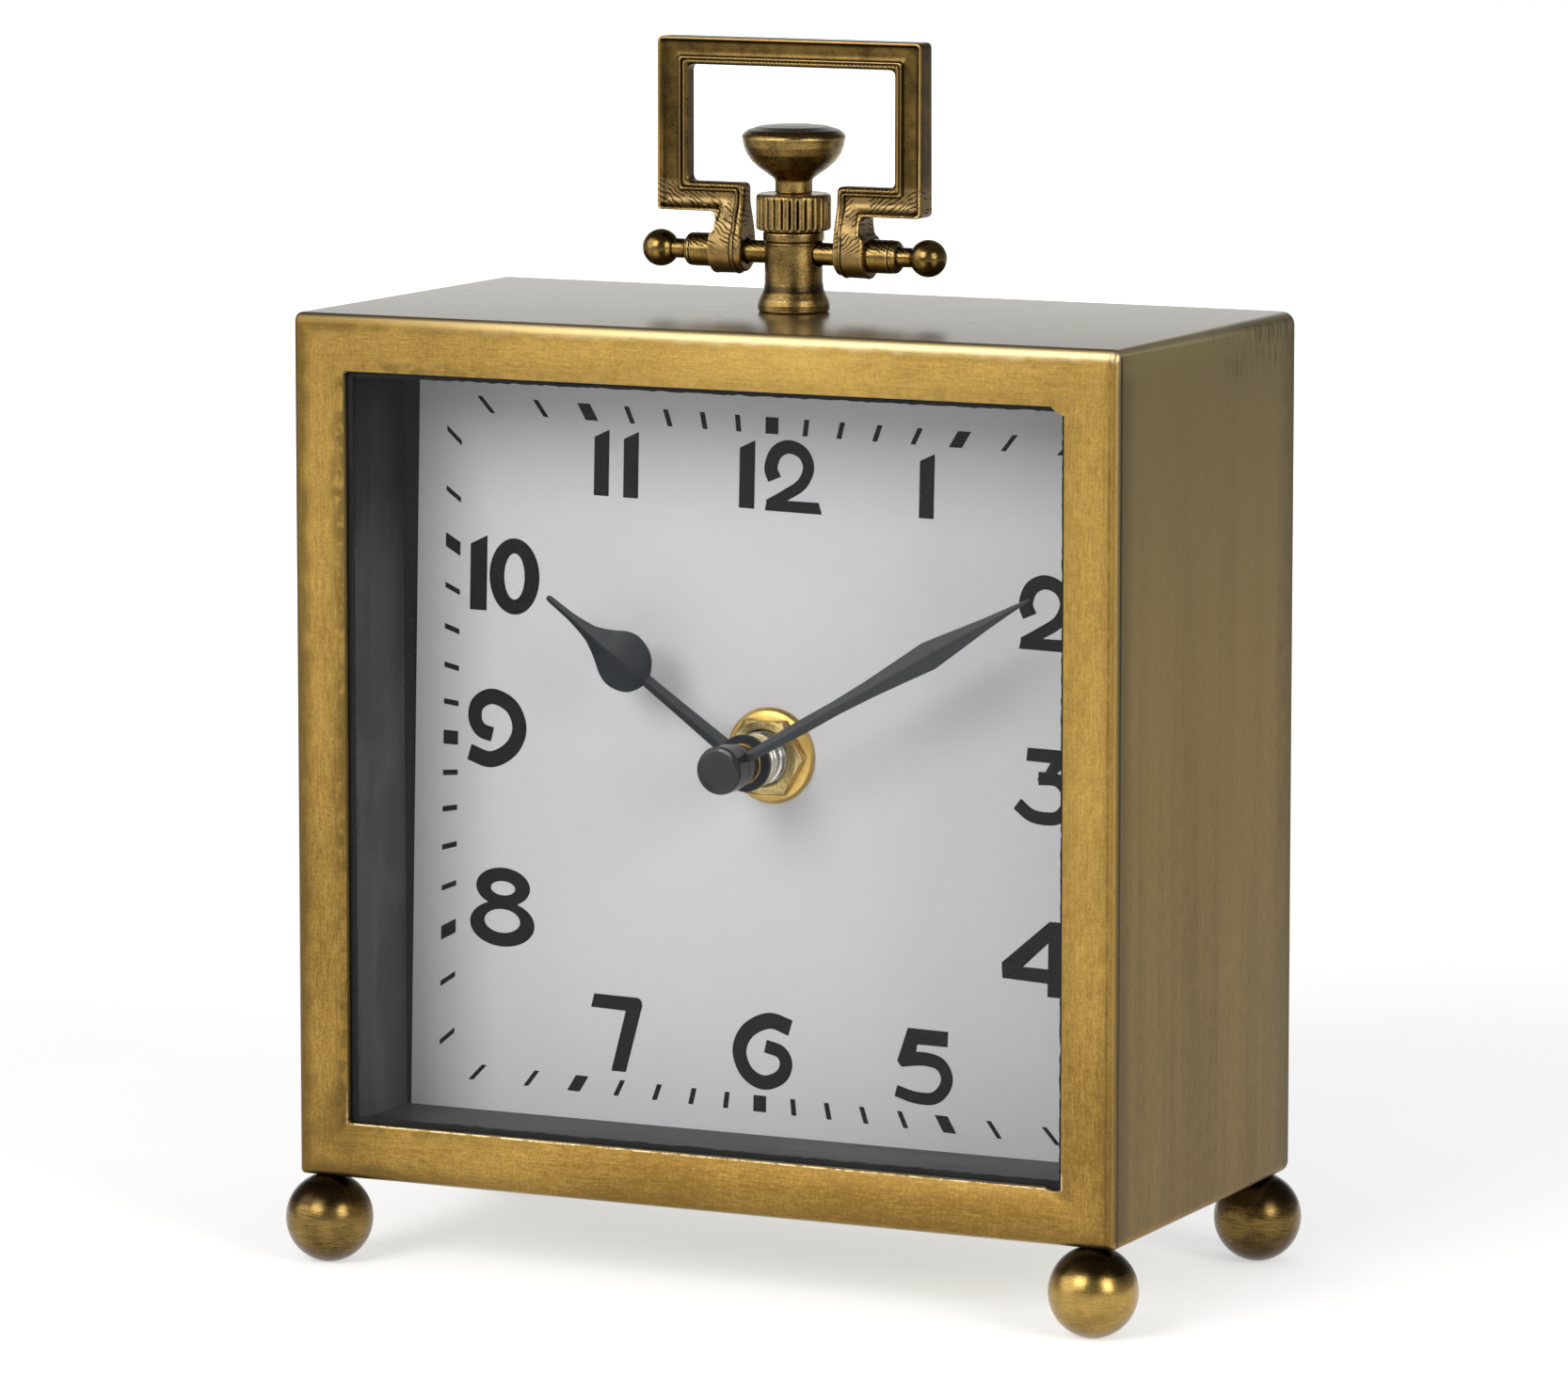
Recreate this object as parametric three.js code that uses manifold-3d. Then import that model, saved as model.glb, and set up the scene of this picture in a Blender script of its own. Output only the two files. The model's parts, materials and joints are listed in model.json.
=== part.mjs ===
// Table clock: a square sheet-metal case on ball feet, with a deep glazed dial, black hands on a quartz
// movement, and a bail handle that swings on a crossbar through a turned column.
// Millimetres. X runs to the right seen from the front, Y to the back and Z up.
// The origin is on the floor, under the middle of the case.
import * as THREE from 'three';
import { mergeVertices } from 'three/addons/utils/BufferGeometryUtils.js';
import Module from 'manifold-3d';

const wasm = await Module();
wasm.setup();

// Clearances that every fit uses
const stackGap = 0.1;
const slipGap = 0.3;
const runGap = 0.25;
const cutOverrun = 2;

// Case
const caseWidth = 132;
const caseHeight = 128.4;
const caseDepth = 64.4;
const sheet = 1.2;
const bendRadius = 1.1;
const caseCorner = 1.3;
const railWidth = 8.4;
const windowCorner = 0.8;

// Ball feet
const footDiameter = 13;
const footFlat = 0.15;
const footNeckDiameter = 4;
const footNeckHeight = 0.2;
const footInsetSide = 4.05;
const footInsetFront = 2;

// Glazing and dial
const gasketReveal = 0.9;
const gasketThickness = 0.5;
const glassThickness = 2;
const glassOverlap = 4;
const linerWall = 1.5;
const linerSideReveal = 3.4;
const linerTopReveal = 1.45;
const paperSideLap = 0.7;
const paperTopLap = 2.2;
const paperThickness = 0.3;
const paperShift = 0.9;
const paperDrop = 1.7;
const paperTurnDegrees = 1.15;
const dialPlateThickness = 2;
const shaftDrop = 0.45;
const clipLength = 10;
const clipFoot = 8;
const clipWidth = 10;
const clipSheet = 1;
const clipSpacing = 80;

// Hands and what shows round their arbor
const minuteArborDiameter = 2;
const hourTubeDiameter = 5.3;
const bushingDiameter = 7.9;
const bushingStand = 4.5;
const washerDiameter = 14.3;
const washerThickness = 1.1;
const nutAcrossFlats = 11;
const nutThickness = 1.8;
const handThickness = 0.5;
const hourReachShare = 0.68;
const hourBulbWidth = 9;
const hourBulbShare = 0.62;
const hourNeckShare = 0.5;
const hourThroatShare = 0.87;
const hourThroatWidth = 1.3;
const hourCheekReach = 2.7;
const hourArmRoot = 2.5;
const hourArmEnd = 1.9;
const hourTipWidth = 0.7;
const hourHubDiameter = 8.4;
const hourColletDiameter = 7.8;
const hourColletClearance = 1;
const hourStandShare = 0.452;
const minuteReachShare = 0.944;
const minuteBladeWidth = 4.2;
const minuteBladeShare = 0.675;
const minuteRootWidth = 1.7;
const minuteTipWidth = 0.5;
const minuteHubDiameter = 5.2;
const minuteBushDiameter = 4.8;
const minuteStandShare = 0.697;
const capDiameter = 6.4;
const capLength = 2.6;
const capChamfer = 0.4;
const hourHandDegrees = 305.1;
const minuteHandDegrees = 60.6;

// Quartz movement
const movementSize = 56;
const movementWall = 1.4;
const movementThickness = 16;
const rubberDiameter = 20;
const rubberThickness = 1;
const bushingFlangeDiameter = 13;
const bushingFlangeThickness = 1;
const arborRadius = 0.4;
const wheelThickness = 0.9;
const layerPitch = 1.5;
const motionModule = 0.4;
const cannonTeeth = 12;
const motionTeeth = 36;
const motionPinionTeeth = 10;
const hourTeeth = 40;
const knobTeeth = 12;
const trainModule = 0.25;
const centreTeeth = 64;
const thirdTeeth = 60;
const secondsTeeth = 40;
const fifthTeeth = 36;
const trainPinionTeeth = 8;
const rotorPinionTeeth = 6;
const motionDegrees = 50;
const thirdDegrees = 180;
const secondsDegrees = 90;
const fifthDegrees = 10;
const rotorDegrees = 60;
const bridgeThickness = 1;
const statorThickness = 1;
const statorRim = 0.9;
const rotorDiameter = 5.6;
const rotorLength = 1.4;
const coilDiameter = 5.2;
const coilLength = 14;
const coreWidth = 2.4;
const coreLength = 20;
const boardWidth = 10;
const boardHeight = 9;
const boardThickness = 1;
const crystalDiameter = 2;
const crystalLength = 6;
const batteryDiameter = 14.2;
const batteryLength = 49.5;
const batteryNubDiameter = 5.4;
const batteryNubLength = 1;
const bayWall = 0.8;
const bayFloorWall = 1;
const contactThickness = 0.4;
const contactSize = 9;
const contactBossDiameter = 6;
const contactBossLength = 0.5;
const knobDiameter = 13;
const knobLength = 4;
const knobShaftDiameter = 3;

// Back panel
const panelRecess = 2.6;
const panelSheet = 1;
const panelOpening = 74;
const panelCorner = 4;
const bracketReach = 10;
const bracketLength = 12;
const bracketHeight = 12;
const bracketSheet = 1;
const panelScrewInset = 6;
const panelScrewDiameter = 2.4;
const panelScrewLength = 5;
const panelHeadDiameter = 5.2;
const panelHeadHeight = 1.5;

// Column, collar and crown knob
const pivotHeight = 8.65;
const columnDiameter = 7.85;
const columnBaseDiameter = 10.3;
const columnBaseHeight = 1.6;
const columnFlareHeight = 3.3;
const columnShoulderDiameter = 8.6;
const columnShoulderHeight = 1.6;
const columnHeight = 11.9;
const grooveDepth = 0.25;
const grooveHeight = 0.4;
const spigotDiameter = 4.4;
const collarDiameter = 10.6;
const collarHeight = 5.1;
const fluteCount = 30;
const fluteDepth = 0.35;
const crownNeckDiameter = 5.2;
const crownNeckHeight = 2.5;
const crownDiameter = 15.3;
const crownHeight = 7.9;
const crownRimHeight = 6.1;
const crownShankDiameter = 1.8;
const crownShankLength = 4;
const columnScrewDiameter = 3;
const columnScrewLength = 4.5;
const columnHeadDiameter = 5.6;
const columnHeadHeight = 2;
const columnWasherDiameter = 9;
const columnWasherThickness = 0.8;
const screwRoom = 0.6;

// Crossbar and handle
const rodDiameter = 3.35;
const rodStudDiameter = 2.2;
const rodStudLength = 3.2;
const finialCollarDiameter = 4.95;
const finialCollarLength = 4.7;
const finialNeckDiameter = 2.6;
const finialBallDiameter = 5.5;
const finialBallPlace = 9.3;
const handleHalfWidth = 21.4;
const handleTop = 31.3;
const handleSideWidth = 4;
const handleTopWidth = 3.45;
const handleThickness = 3.8;
const armUnder = 5.95;
const armWidth = 3.5;
const legInner = 8.6;
const legWidth = 3.5;
const earDiameter = 6.8;
const channelInset = 0.75;
const channelDepth = 0.5;

// Fineness of round stretches
const fineSides = 24;
const plainSides = 16;
const smallSides = 12;
const bendSteps = 3;
const arcSteps = 6;

// Derived levels
const footRadius = footDiameter / 2;
const footCentre = footRadius - footFlat;
const caseFloor = footCentre + footRadius + footNeckHeight;
const caseTop = caseFloor + caseHeight;
const caseMiddle = caseFloor + caseHeight / 2;
const front = -caseDepth / 2;
const back = caseDepth / 2;
const innerHalfWidth = caseWidth / 2 - sheet;
const innerFloor = caseFloor + sheet;
const innerTop = caseTop - sheet;
const windowWidth = caseWidth - 2 * railWidth;
const windowHeight = caseHeight - 2 * railWidth;
const shaftHeight = caseMiddle - shaftDrop;
const paperWidth = windowWidth + 2 * paperSideLap;
const paperHeight = windowHeight + 2 * paperTopLap;
const hourHandLength = (hourReachShare * windowWidth) / 2;
const minuteHandLength = (minuteReachShare * windowWidth) / 2;
const plateBack = -columnWasherDiameter / 2 - screwRoom;
const plateFront = plateBack - dialPlateThickness;
const dialFront = plateFront - stackGap - paperThickness;
const gasketFront = front + sheet + stackGap;
const glassFront = gasketFront + gasketThickness + stackGap;
const glassBack = glassFront + glassThickness;
const dialWell = dialFront - glassBack;
const hourHandStand = hourStandShare * dialWell;
const minuteHandStand = minuteStandShare * dialWell;
const hourColletLength = hourHandStand - handThickness - bushingStand - hourColletClearance;
const movementFront = plateBack + stackGap + rubberThickness + stackGap;
const movementBack = movementFront + movementThickness;
const movementInner = movementFront + movementWall;
const pivotLevel = caseTop + pivotHeight;

function solid(geometry) {
  const bare = geometry.clone();
  bare.deleteAttribute('normal');
  bare.deleteAttribute('uv');
  const merged = mergeVertices(bare);
  const corners = Array.from(merged.index.array);
  const kept = [];
  for (let i = 0; i < corners.length; i += 3) {
    const [a, b, c] = corners.slice(i, i + 3);
    if (a !== b && b !== c && c !== a) kept.push(a, b, c);
  }
  return new wasm.Manifold(new wasm.Mesh({
    numProp: 3,
    vertProperties: new Float32Array(merged.attributes.position.array),
    triVerts: new Uint32Array(kept),
  }));
}

function geometryOf(body) {
  const mesh = body.getMesh();
  const geometry = new THREE.BufferGeometry();
  geometry.setAttribute('position', new THREE.BufferAttribute(mesh.vertProperties, 3));
  geometry.setIndex(new THREE.BufferAttribute(mesh.triVerts, 1));
  geometry.computeVertexNormals();
  return geometry;
}

function join(...geometries) {
  return geometryOf(geometries.map(solid).reduce((whole, piece) => whole.add(piece)));
}

function cut(geometry, ...cutters) {
  return geometryOf(cutters.map(solid).reduce((rest, cutter) => rest.subtract(cutter), solid(geometry)));
}

// A flat outline drawn as seen from the front, given thickness from one depth to another
function slab(shape, from, to, steps = bendSteps) {
  const geometry = new THREE.ExtrudeGeometry(shape, {
    depth: to - from, bevelEnabled: false, curveSegments: steps,
  });
  return geometry.rotateX(Math.PI / 2).translate(0, to, 0);
}

function block(x0, x1, y0, y1, z0, z1) {
  const geometry = new THREE.BoxGeometry(x1 - x0, y1 - y0, z1 - z0);
  return geometry.translate((x0 + x1) / 2, (y0 + y1) / 2, (z0 + z1) / 2);
}

function profileOf(points) {
  return points.map(([radius, along]) => new THREE.Vector2(radius, along));
}

// Turned pieces: the profile's second number runs along the axis
function turnedAlongY(points, sides = fineSides) {
  return geometryOf(solid(new THREE.LatheGeometry(profileOf(points), sides)));
}

function turnedAlongZ(points, sides = fineSides) {
  return turnedAlongY(points, sides).rotateX(Math.PI / 2);
}

function turnedAlongX(points, sides = fineSides) {
  return turnedAlongY(points, sides).rotateZ(-Math.PI / 2);
}

function ring(inner, outer, from, to) {
  return [[outer, from], [outer, to], [inner, to], [inner, from], [outer, from]];
}

function rod(radius, from, to) {
  return [[0, from], [radius, from], [radius, to], [0, to]];
}

function arc(centreAlong, radius, fromDegrees, toDegrees, steps) {
  const points = [];
  for (let i = 0; i <= steps; i += 1) {
    const angle = THREE.MathUtils.degToRad(fromDegrees + ((toDegrees - fromDegrees) * i) / steps);
    points.push([radius * Math.cos(angle), centreAlong + radius * Math.sin(angle)]);
  }
  return points;
}

function rectangle(width, height, corner = 0, x = 0, z = 0) {
  const shape = new THREE.Shape();
  const right = x + width / 2;
  const left = x - width / 2;
  const top = z + height / 2;
  const bottom = z - height / 2;
  if (corner === 0) {
    shape.moveTo(left, bottom).lineTo(right, bottom).lineTo(right, top).lineTo(left, top);
    return shape;
  }
  shape.moveTo(left + corner, bottom);
  shape.lineTo(right - corner, bottom);
  shape.absarc(right - corner, bottom + corner, corner, -Math.PI / 2, 0);
  shape.lineTo(right, top - corner);
  shape.absarc(right - corner, top - corner, corner, 0, Math.PI / 2);
  shape.lineTo(left + corner, top);
  shape.absarc(left + corner, top - corner, corner, Math.PI / 2, Math.PI);
  shape.lineTo(left, bottom + corner);
  shape.absarc(left + corner, bottom + corner, corner, Math.PI, 1.5 * Math.PI);
  return shape;
}

function disc(radius, x = 0, z = 0, sides = plainSides) {
  const points = [];
  for (let i = 0; i < sides; i += 1) {
    const angle = (2 * Math.PI * i) / sides;
    points.push(new THREE.Vector2(x + radius * Math.cos(angle), z + radius * Math.sin(angle)));
  }
  return new THREE.Shape(points);
}

function outline(points) {
  return new THREE.Shape(points.map(([x, z]) => new THREE.Vector2(x, z)));
}

const finish = {
  brass: { color: '#a5833f', metalness: 0.9, roughness: 0.45 },
  bronze: { color: '#6d5226', metalness: 0.9, roughness: 0.4 },
  polishedBrass: { color: '#dcb35a', metalness: 1, roughness: 0.2 },
  silver: { color: '#c4c4c4', metalness: 1, roughness: 0.25 },
  blackMetal: { color: '#3a3c3e', metalness: 0.2, roughness: 0.5 },
  blackPlastic: { color: '#1c1c1d', metalness: 0, roughness: 0.5 },
  blackPaint: { color: '#232424', metalness: 0, roughness: 0.6 },
  steel: { color: '#9a9a9c', metalness: 1, roughness: 0.35 },
  glass: { color: '#eef4f4', metalness: 0, roughness: 0.05, transparent: true, opacity: 0.2 },
  paper: { color: '#c8c9cb', metalness: 0, roughness: 0.8 },
  board: { color: '#6b4a2a', metalness: 0, roughness: 0.8 },
  rubber: { color: '#151515', metalness: 0, roughness: 0.9 },
  nylon: { color: '#e6e2d6', metalness: 0, roughness: 0.5 },
  copper: { color: '#a8552c', metalness: 0.8, roughness: 0.4 },
  greenBoard: { color: '#2f5a34', metalness: 0, roughness: 0.6 },
  label: { color: '#2c4a6e', metalness: 0.1, roughness: 0.4 },
};

const clock = new THREE.Group();

function add(name, geometry, look, place = [0, 0, 0], turn = 0, parent = clock) {
  const mesh = new THREE.Mesh(geometry, new THREE.MeshStandardMaterial(finish[look]));
  mesh.name = name;
  mesh.position.set(...place);
  mesh.rotation.y = turn;
  parent.add(mesh);
  return mesh;
}

// Case shell: one folded sheet with bent front edges, the window cut in its front and its back open
function caseShell() {
  const folded = new THREE.ExtrudeGeometry(rectangle(caseWidth, caseHeight, caseCorner), {
    depth: caseDepth,
    bevelThickness: bendRadius,
    bevelSize: bendRadius,
    bevelOffset: -bendRadius,
    bevelSegments: bendSteps,
    curveSegments: bendSteps,
  });
  folded.rotateX(Math.PI / 2).translate(0, back + bendRadius, caseMiddle);
  const far = caseWidth;
  const behind = block(-far, far, back, back + far, caseFloor - far, caseTop + far);
  const inside = block(
    -innerHalfWidth, innerHalfWidth, front + sheet, back + cutOverrun, innerFloor, innerTop,
  );
  const windowShape = rectangle(windowWidth, windowHeight, windowCorner, 0, caseMiddle);
  const pane = slab(windowShape, front - cutOverrun, front + cutOverrun);
  const screwHole = turnedAlongZ(
    rod(columnScrewDiameter / 2 + slipGap, innerTop - cutOverrun, caseTop + cutOverrun), smallSides,
  );
  add('case_shell', cut(folded, behind, inside, pane, screwHole), 'brass');
}

// Ball feet: each ball has a short neck under the case and a small worn flat on the floor
function feet() {
  const flatDegrees = THREE.MathUtils.radToDeg(Math.asin(-footCentre / footRadius));
  const neckDegrees = THREE.MathUtils.radToDeg(Math.acos(footNeckDiameter / footDiameter));
  const profile = [
    [0, 0],
    ...arc(footCentre, footRadius, flatDegrees, neckDegrees, arcSteps),
    [footNeckDiameter / 2, caseFloor],
    [0, caseFloor],
  ];
  const ball = turnedAlongZ(profile, plainSides);
  for (const [sideName, side] of [['left', -1], ['right', 1]]) {
    for (const [endName, end] of [['front', -1], ['rear', 1]]) {
      const x = side * (caseWidth / 2 - footInsetSide);
      const y = end * (caseDepth / 2 - footInsetFront);
      add(`foot_${endName}_${sideName}`, ball.clone(), 'brass', [x, y, 0]);
    }
  }
}

// Glazing: a thin gasket, the pane, and the black liner whose flanges hold them off the dial
const linerFront = glassBack + stackGap;
const linerBack = dialFront - stackGap;
const linerInnerWidth = windowWidth + 2 * linerSideReveal;
const linerInnerHeight = windowHeight + 2 * linerTopReveal;

function frameShape(outerWidth, outerHeight, innerWidth, innerHeight) {
  const shape = rectangle(outerWidth, outerHeight);
  shape.holes.push(rectangle(innerWidth, innerHeight));
  return shape;
}

function glazing() {
  const glassWidth = windowWidth + 2 * glassOverlap;
  const glassHeight = windowHeight + 2 * glassOverlap;
  const gasket = frameShape(
    glassWidth, glassHeight, windowWidth - 2 * gasketReveal, windowHeight - 2 * gasketReveal,
  );
  add('glass_gasket', slab(gasket, 0, gasketThickness), 'rubber', [0, gasketFront, caseMiddle]);
  const pane = slab(rectangle(glassWidth, glassHeight), 0, glassThickness);
  add('glass_pane', pane, 'glass', [0, glassFront, caseMiddle]);
  const tubeWidth = linerInnerWidth + 2 * linerWall;
  const tubeHeight = linerInnerHeight + 2 * linerWall;
  const flangeWidth = 2 * (innerHalfWidth - slipGap);
  const flangeHeight = innerTop - innerFloor - 2 * slipGap;
  const tube = frameShape(tubeWidth, tubeHeight, linerInnerWidth, linerInnerHeight);
  const flange = frameShape(flangeWidth, flangeHeight, linerInnerWidth, linerInnerHeight);
  const length = linerBack - linerFront;
  const liner = join(
    slab(tube, 0, length), slab(flange, 0, linerWall), slab(flange, length - linerWall, length),
  );
  add('dial_liner', liner, 'blackPaint', [0, linerFront, caseMiddle]);
}

// Dial: a printed paper, glued a little turned and low on its board, and four clips behind the board
function dial() {
  const boreRadius = bushingDiameter / 2 + slipGap;
  const turn = THREE.MathUtils.degToRad(paperTurnDegrees);
  const holeX = paperShift * Math.cos(turn) - paperDrop * Math.sin(turn);
  const holeZ = paperShift * Math.sin(turn) + paperDrop * Math.cos(turn);
  const paper = rectangle(paperWidth, paperHeight);
  paper.holes.push(disc(boreRadius, holeX, holeZ));
  const paperPlace = [-paperShift, dialFront, shaftHeight - paperDrop];
  add('dial_paper', slab(paper, 0, paperThickness), 'paper', paperPlace, turn);
  const board = rectangle(
    2 * (innerHalfWidth - slipGap), innerTop - innerFloor - 2 * slipGap, 0, 0, caseMiddle - shaftHeight,
  );
  board.holes.push(disc(boreRadius));
  add('dial_board', slab(board, 0, dialPlateThickness), 'board', [0, plateFront, shaftHeight]);
  const wall = innerHalfWidth - stackGap;
  const clipFront = plateBack + stackGap;
  for (const [sideName, side] of [['left', -1], ['right', 1]]) {
    const profile = outline([
      [side * wall, clipFront],
      [side * (wall - clipFoot), clipFront],
      [side * (wall - clipFoot), clipFront + clipSheet],
      [side * (wall - clipSheet), clipFront + clipSheet],
      [side * (wall - clipSheet), clipFront + clipLength],
      [side * wall, clipFront + clipLength],
    ]);
    const clip = new THREE.ExtrudeGeometry(profile, { depth: clipWidth, bevelEnabled: false });
    for (const [levelName, level] of [['lower', -1], ['upper', 1]]) {
      const z = caseMiddle + (level * clipSpacing) / 2 - clipWidth / 2;
      add(`dial_clip_${levelName}_${sideName}`, clip.clone(), 'steel', [0, 0, z]);
    }
  }
}

// Washer, nut and the movement's threaded bushing, which passes through the board and the paper
const bushingFront = dialFront - bushingStand;
const washerBack = dialFront - stackGap;
const nutBack = washerBack - washerThickness - stackGap;

function bushingAndNut() {
  const clearBore = bushingDiameter / 2 + stackGap;
  const outer = washerDiameter / 2;
  const washer = [
    [outer, -washerThickness / 2],
    [outer, 0],
    [clearBore, 0],
    [clearBore, -washerThickness],
    [outer - washerThickness, -washerThickness],
    [outer, -washerThickness / 2],
  ];
  const centre = [0, washerBack, shaftHeight];
  add('dial_washer', turnedAlongY(washer), 'polishedBrass', centre);
  const corner = nutAcrossFlats / Math.sqrt(3);
  const hexagon = disc(corner, 0, 0, 6);
  hexagon.holes.push(disc(clearBore, 0, 0, fineSides));
  add('dial_nut', slab(hexagon, -nutThickness, 0), 'polishedBrass', [0, nutBack, shaftHeight]);
  const flangeFront = movementInner + stackGap;
  const flangeBack = flangeFront + bushingFlangeThickness;
  const outside = bushingDiameter / 2;
  const inside = hourTubeDiameter / 2 + slipGap;
  const bushing = [
    [outside, bushingFront],
    [outside, flangeFront],
    [bushingFlangeDiameter / 2, flangeFront],
    [bushingFlangeDiameter / 2, flangeBack],
    [inside, flangeBack],
    [inside, bushingFront],
    [outside, bushingFront],
  ];
  add('threaded_bushing', turnedAlongY(bushing), 'silver', [0, 0, shaftHeight]);
  const rubber = ring(outside + slipGap, rubberDiameter / 2, 0, rubberThickness);
  add('rubber_washer', turnedAlongY(rubber, plainSides), 'rubber', [0, plateBack + stackGap, shaftHeight]);
}

// Gear outlines: straight-sided teeth with some backlash, one tooth centred on the given phase
const wheelRootShare = 0.29;
const wheelTipShare = 0.1;
const pinionRootShare = 0.22;
const pinionTipShare = 0.08;
const addendumShare = 0.85;
const dedendumShare = 1.15;
const pinionLimit = 12;

function gearShape(teeth, module, phase) {
  const pitch = (2 * Math.PI) / teeth;
  const root = (teeth * module) / 2 - dedendumShare * module;
  const tip = (teeth * module) / 2 + addendumShare * module;
  const rootShare = teeth > pinionLimit ? wheelRootShare : pinionRootShare;
  const tipShare = teeth > pinionLimit ? wheelTipShare : pinionTipShare;
  const tooth = [[root, -rootShare], [tip, -tipShare], [tip, tipShare], [root, rootShare]];
  const points = [];
  for (let i = 0; i < teeth; i += 1) {
    for (const [radius, share] of tooth) {
      const angle = phase + (i + share) * pitch;
      points.push(new THREE.Vector2(radius * Math.cos(angle), radius * Math.sin(angle)));
    }
  }
  return new THREE.Shape(points);
}

// The phase of a gear that meshes with another, whose own phase is known, seen along the line of centres
function meshPhase(direction, drivingTeeth, drivingPhase, teeth) {
  const half = Math.PI / teeth;
  return direction + Math.PI + half - ((drivingPhase - direction) * drivingTeeth) / teeth;
}

function axisAt(from, degrees, teeth, module) {
  const angle = THREE.MathUtils.degToRad(degrees);
  const distance = (teeth * module) / 2;
  return { x: from.x + distance * Math.cos(angle), z: from.z + distance * Math.sin(angle), angle };
}

// Gear layers from front to back, and the axes that the wheels turn on
const hourLayer = movementInner + stackGap + bushingFlangeThickness + slipGap;
const motionLayer = hourLayer + layerPitch;
const centreLayer = motionLayer + layerPitch;
const thirdLayer = centreLayer + layerPitch;
const secondsLayer = thirdLayer + layerPitch;
const fifthLayer = secondsLayer + layerPitch;
const statorFront = fifthLayer + layerPitch;
const bridgeFront = statorFront + statorThickness + slipGap;
const arborFront = movementInner + slipGap;
const arborBack = bridgeFront - slipGap;
const centreAxis = { x: 0, z: 0 };
const motionAxis = axisAt(centreAxis, motionDegrees, cannonTeeth + motionTeeth, motionModule);
const knobAxis = axisAt(motionAxis, motionDegrees, motionTeeth + knobTeeth, motionModule);
const thirdAxis = axisAt(centreAxis, thirdDegrees, centreTeeth + trainPinionTeeth, trainModule);
const secondsAxis = axisAt(thirdAxis, secondsDegrees, thirdTeeth + trainPinionTeeth, trainModule);
const fifthAxis = axisAt(secondsAxis, fifthDegrees, secondsTeeth + trainPinionTeeth, trainModule);
const rotorAxis = axisAt(fifthAxis, rotorDegrees, fifthTeeth + rotorPinionTeeth, trainModule);
const pinionModuleHour = (2 * Math.hypot(motionAxis.x, motionAxis.z)) / (motionPinionTeeth + hourTeeth);

// Phases: the cannon pinion, the centre wheel and each pinion on a shared arbor start at zero
const motionPhase = meshPhase(motionAxis.angle, cannonTeeth, 0, motionTeeth);
const hourPhase = meshPhase(motionAxis.angle + Math.PI, motionPinionTeeth, 0, hourTeeth);
const knobPhase = meshPhase(knobAxis.angle, motionTeeth, motionPhase, knobTeeth);
const centrePhase = meshPhase(thirdAxis.angle + Math.PI, trainPinionTeeth, 0, centreTeeth);
const thirdPhase = meshPhase(secondsAxis.angle + Math.PI, trainPinionTeeth, 0, thirdTeeth);
const secondsPhase = meshPhase(fifthAxis.angle + Math.PI, trainPinionTeeth, 0, secondsTeeth);
const fifthPhase = meshPhase(rotorAxis.angle + Math.PI, rotorPinionTeeth, 0, fifthTeeth);

function shaft(radius, from, to, sides = smallSides) {
  return slab(disc(radius, 0, 0, sides), from, to);
}

function gear(teeth, module, phase, from, thickness = wheelThickness) {
  return slab(gearShape(teeth, module, phase), from, from + thickness);
}

function atAxis(axis) {
  return [axis.x, 0, shaftHeight + axis.z];
}

// Motion work: the minute arbor, the motion wheel that it turns, and the hour wheel on its tube
function motionWork() {
  const minuteFront = dialFront - minuteHandStand - handThickness;
  const arbor = join(
    shaft(minuteArborDiameter / 2, minuteFront - capLength / 2, arborBack),
    gear(cannonTeeth, motionModule, 0, motionLayer),
  );
  add('minute_arbor', arbor, 'steel', atAxis(centreAxis));
  const pinionLength = motionLayer - hourLayer + wheelThickness / 2;
  const motionWheel = join(
    shaft(arborRadius, arborFront, arborBack),
    gear(motionTeeth, motionModule, motionPhase, motionLayer),
    gear(motionPinionTeeth, pinionModuleHour, 0, hourLayer, pinionLength),
  );
  add('motion_wheel', motionWheel, 'nylon', atAxis(motionAxis));
  const tubeInside = minuteArborDiameter / 2 + slipGap;
  const tubeFront = dialFront - hourHandStand - handThickness;
  const tube = turnedAlongY(ring(tubeInside, hourTubeDiameter / 2, tubeFront, hourLayer + wheelThickness));
  const wheel = cut(
    gear(hourTeeth, pinionModuleHour, hourPhase, hourLayer),
    shaft(hourTubeDiameter / 2 - stackGap, hourLayer - cutOverrun, hourLayer + cutOverrun),
  );
  add('hour_wheel', join(tube, wheel), 'polishedBrass', atAxis(centreAxis));
}

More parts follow.
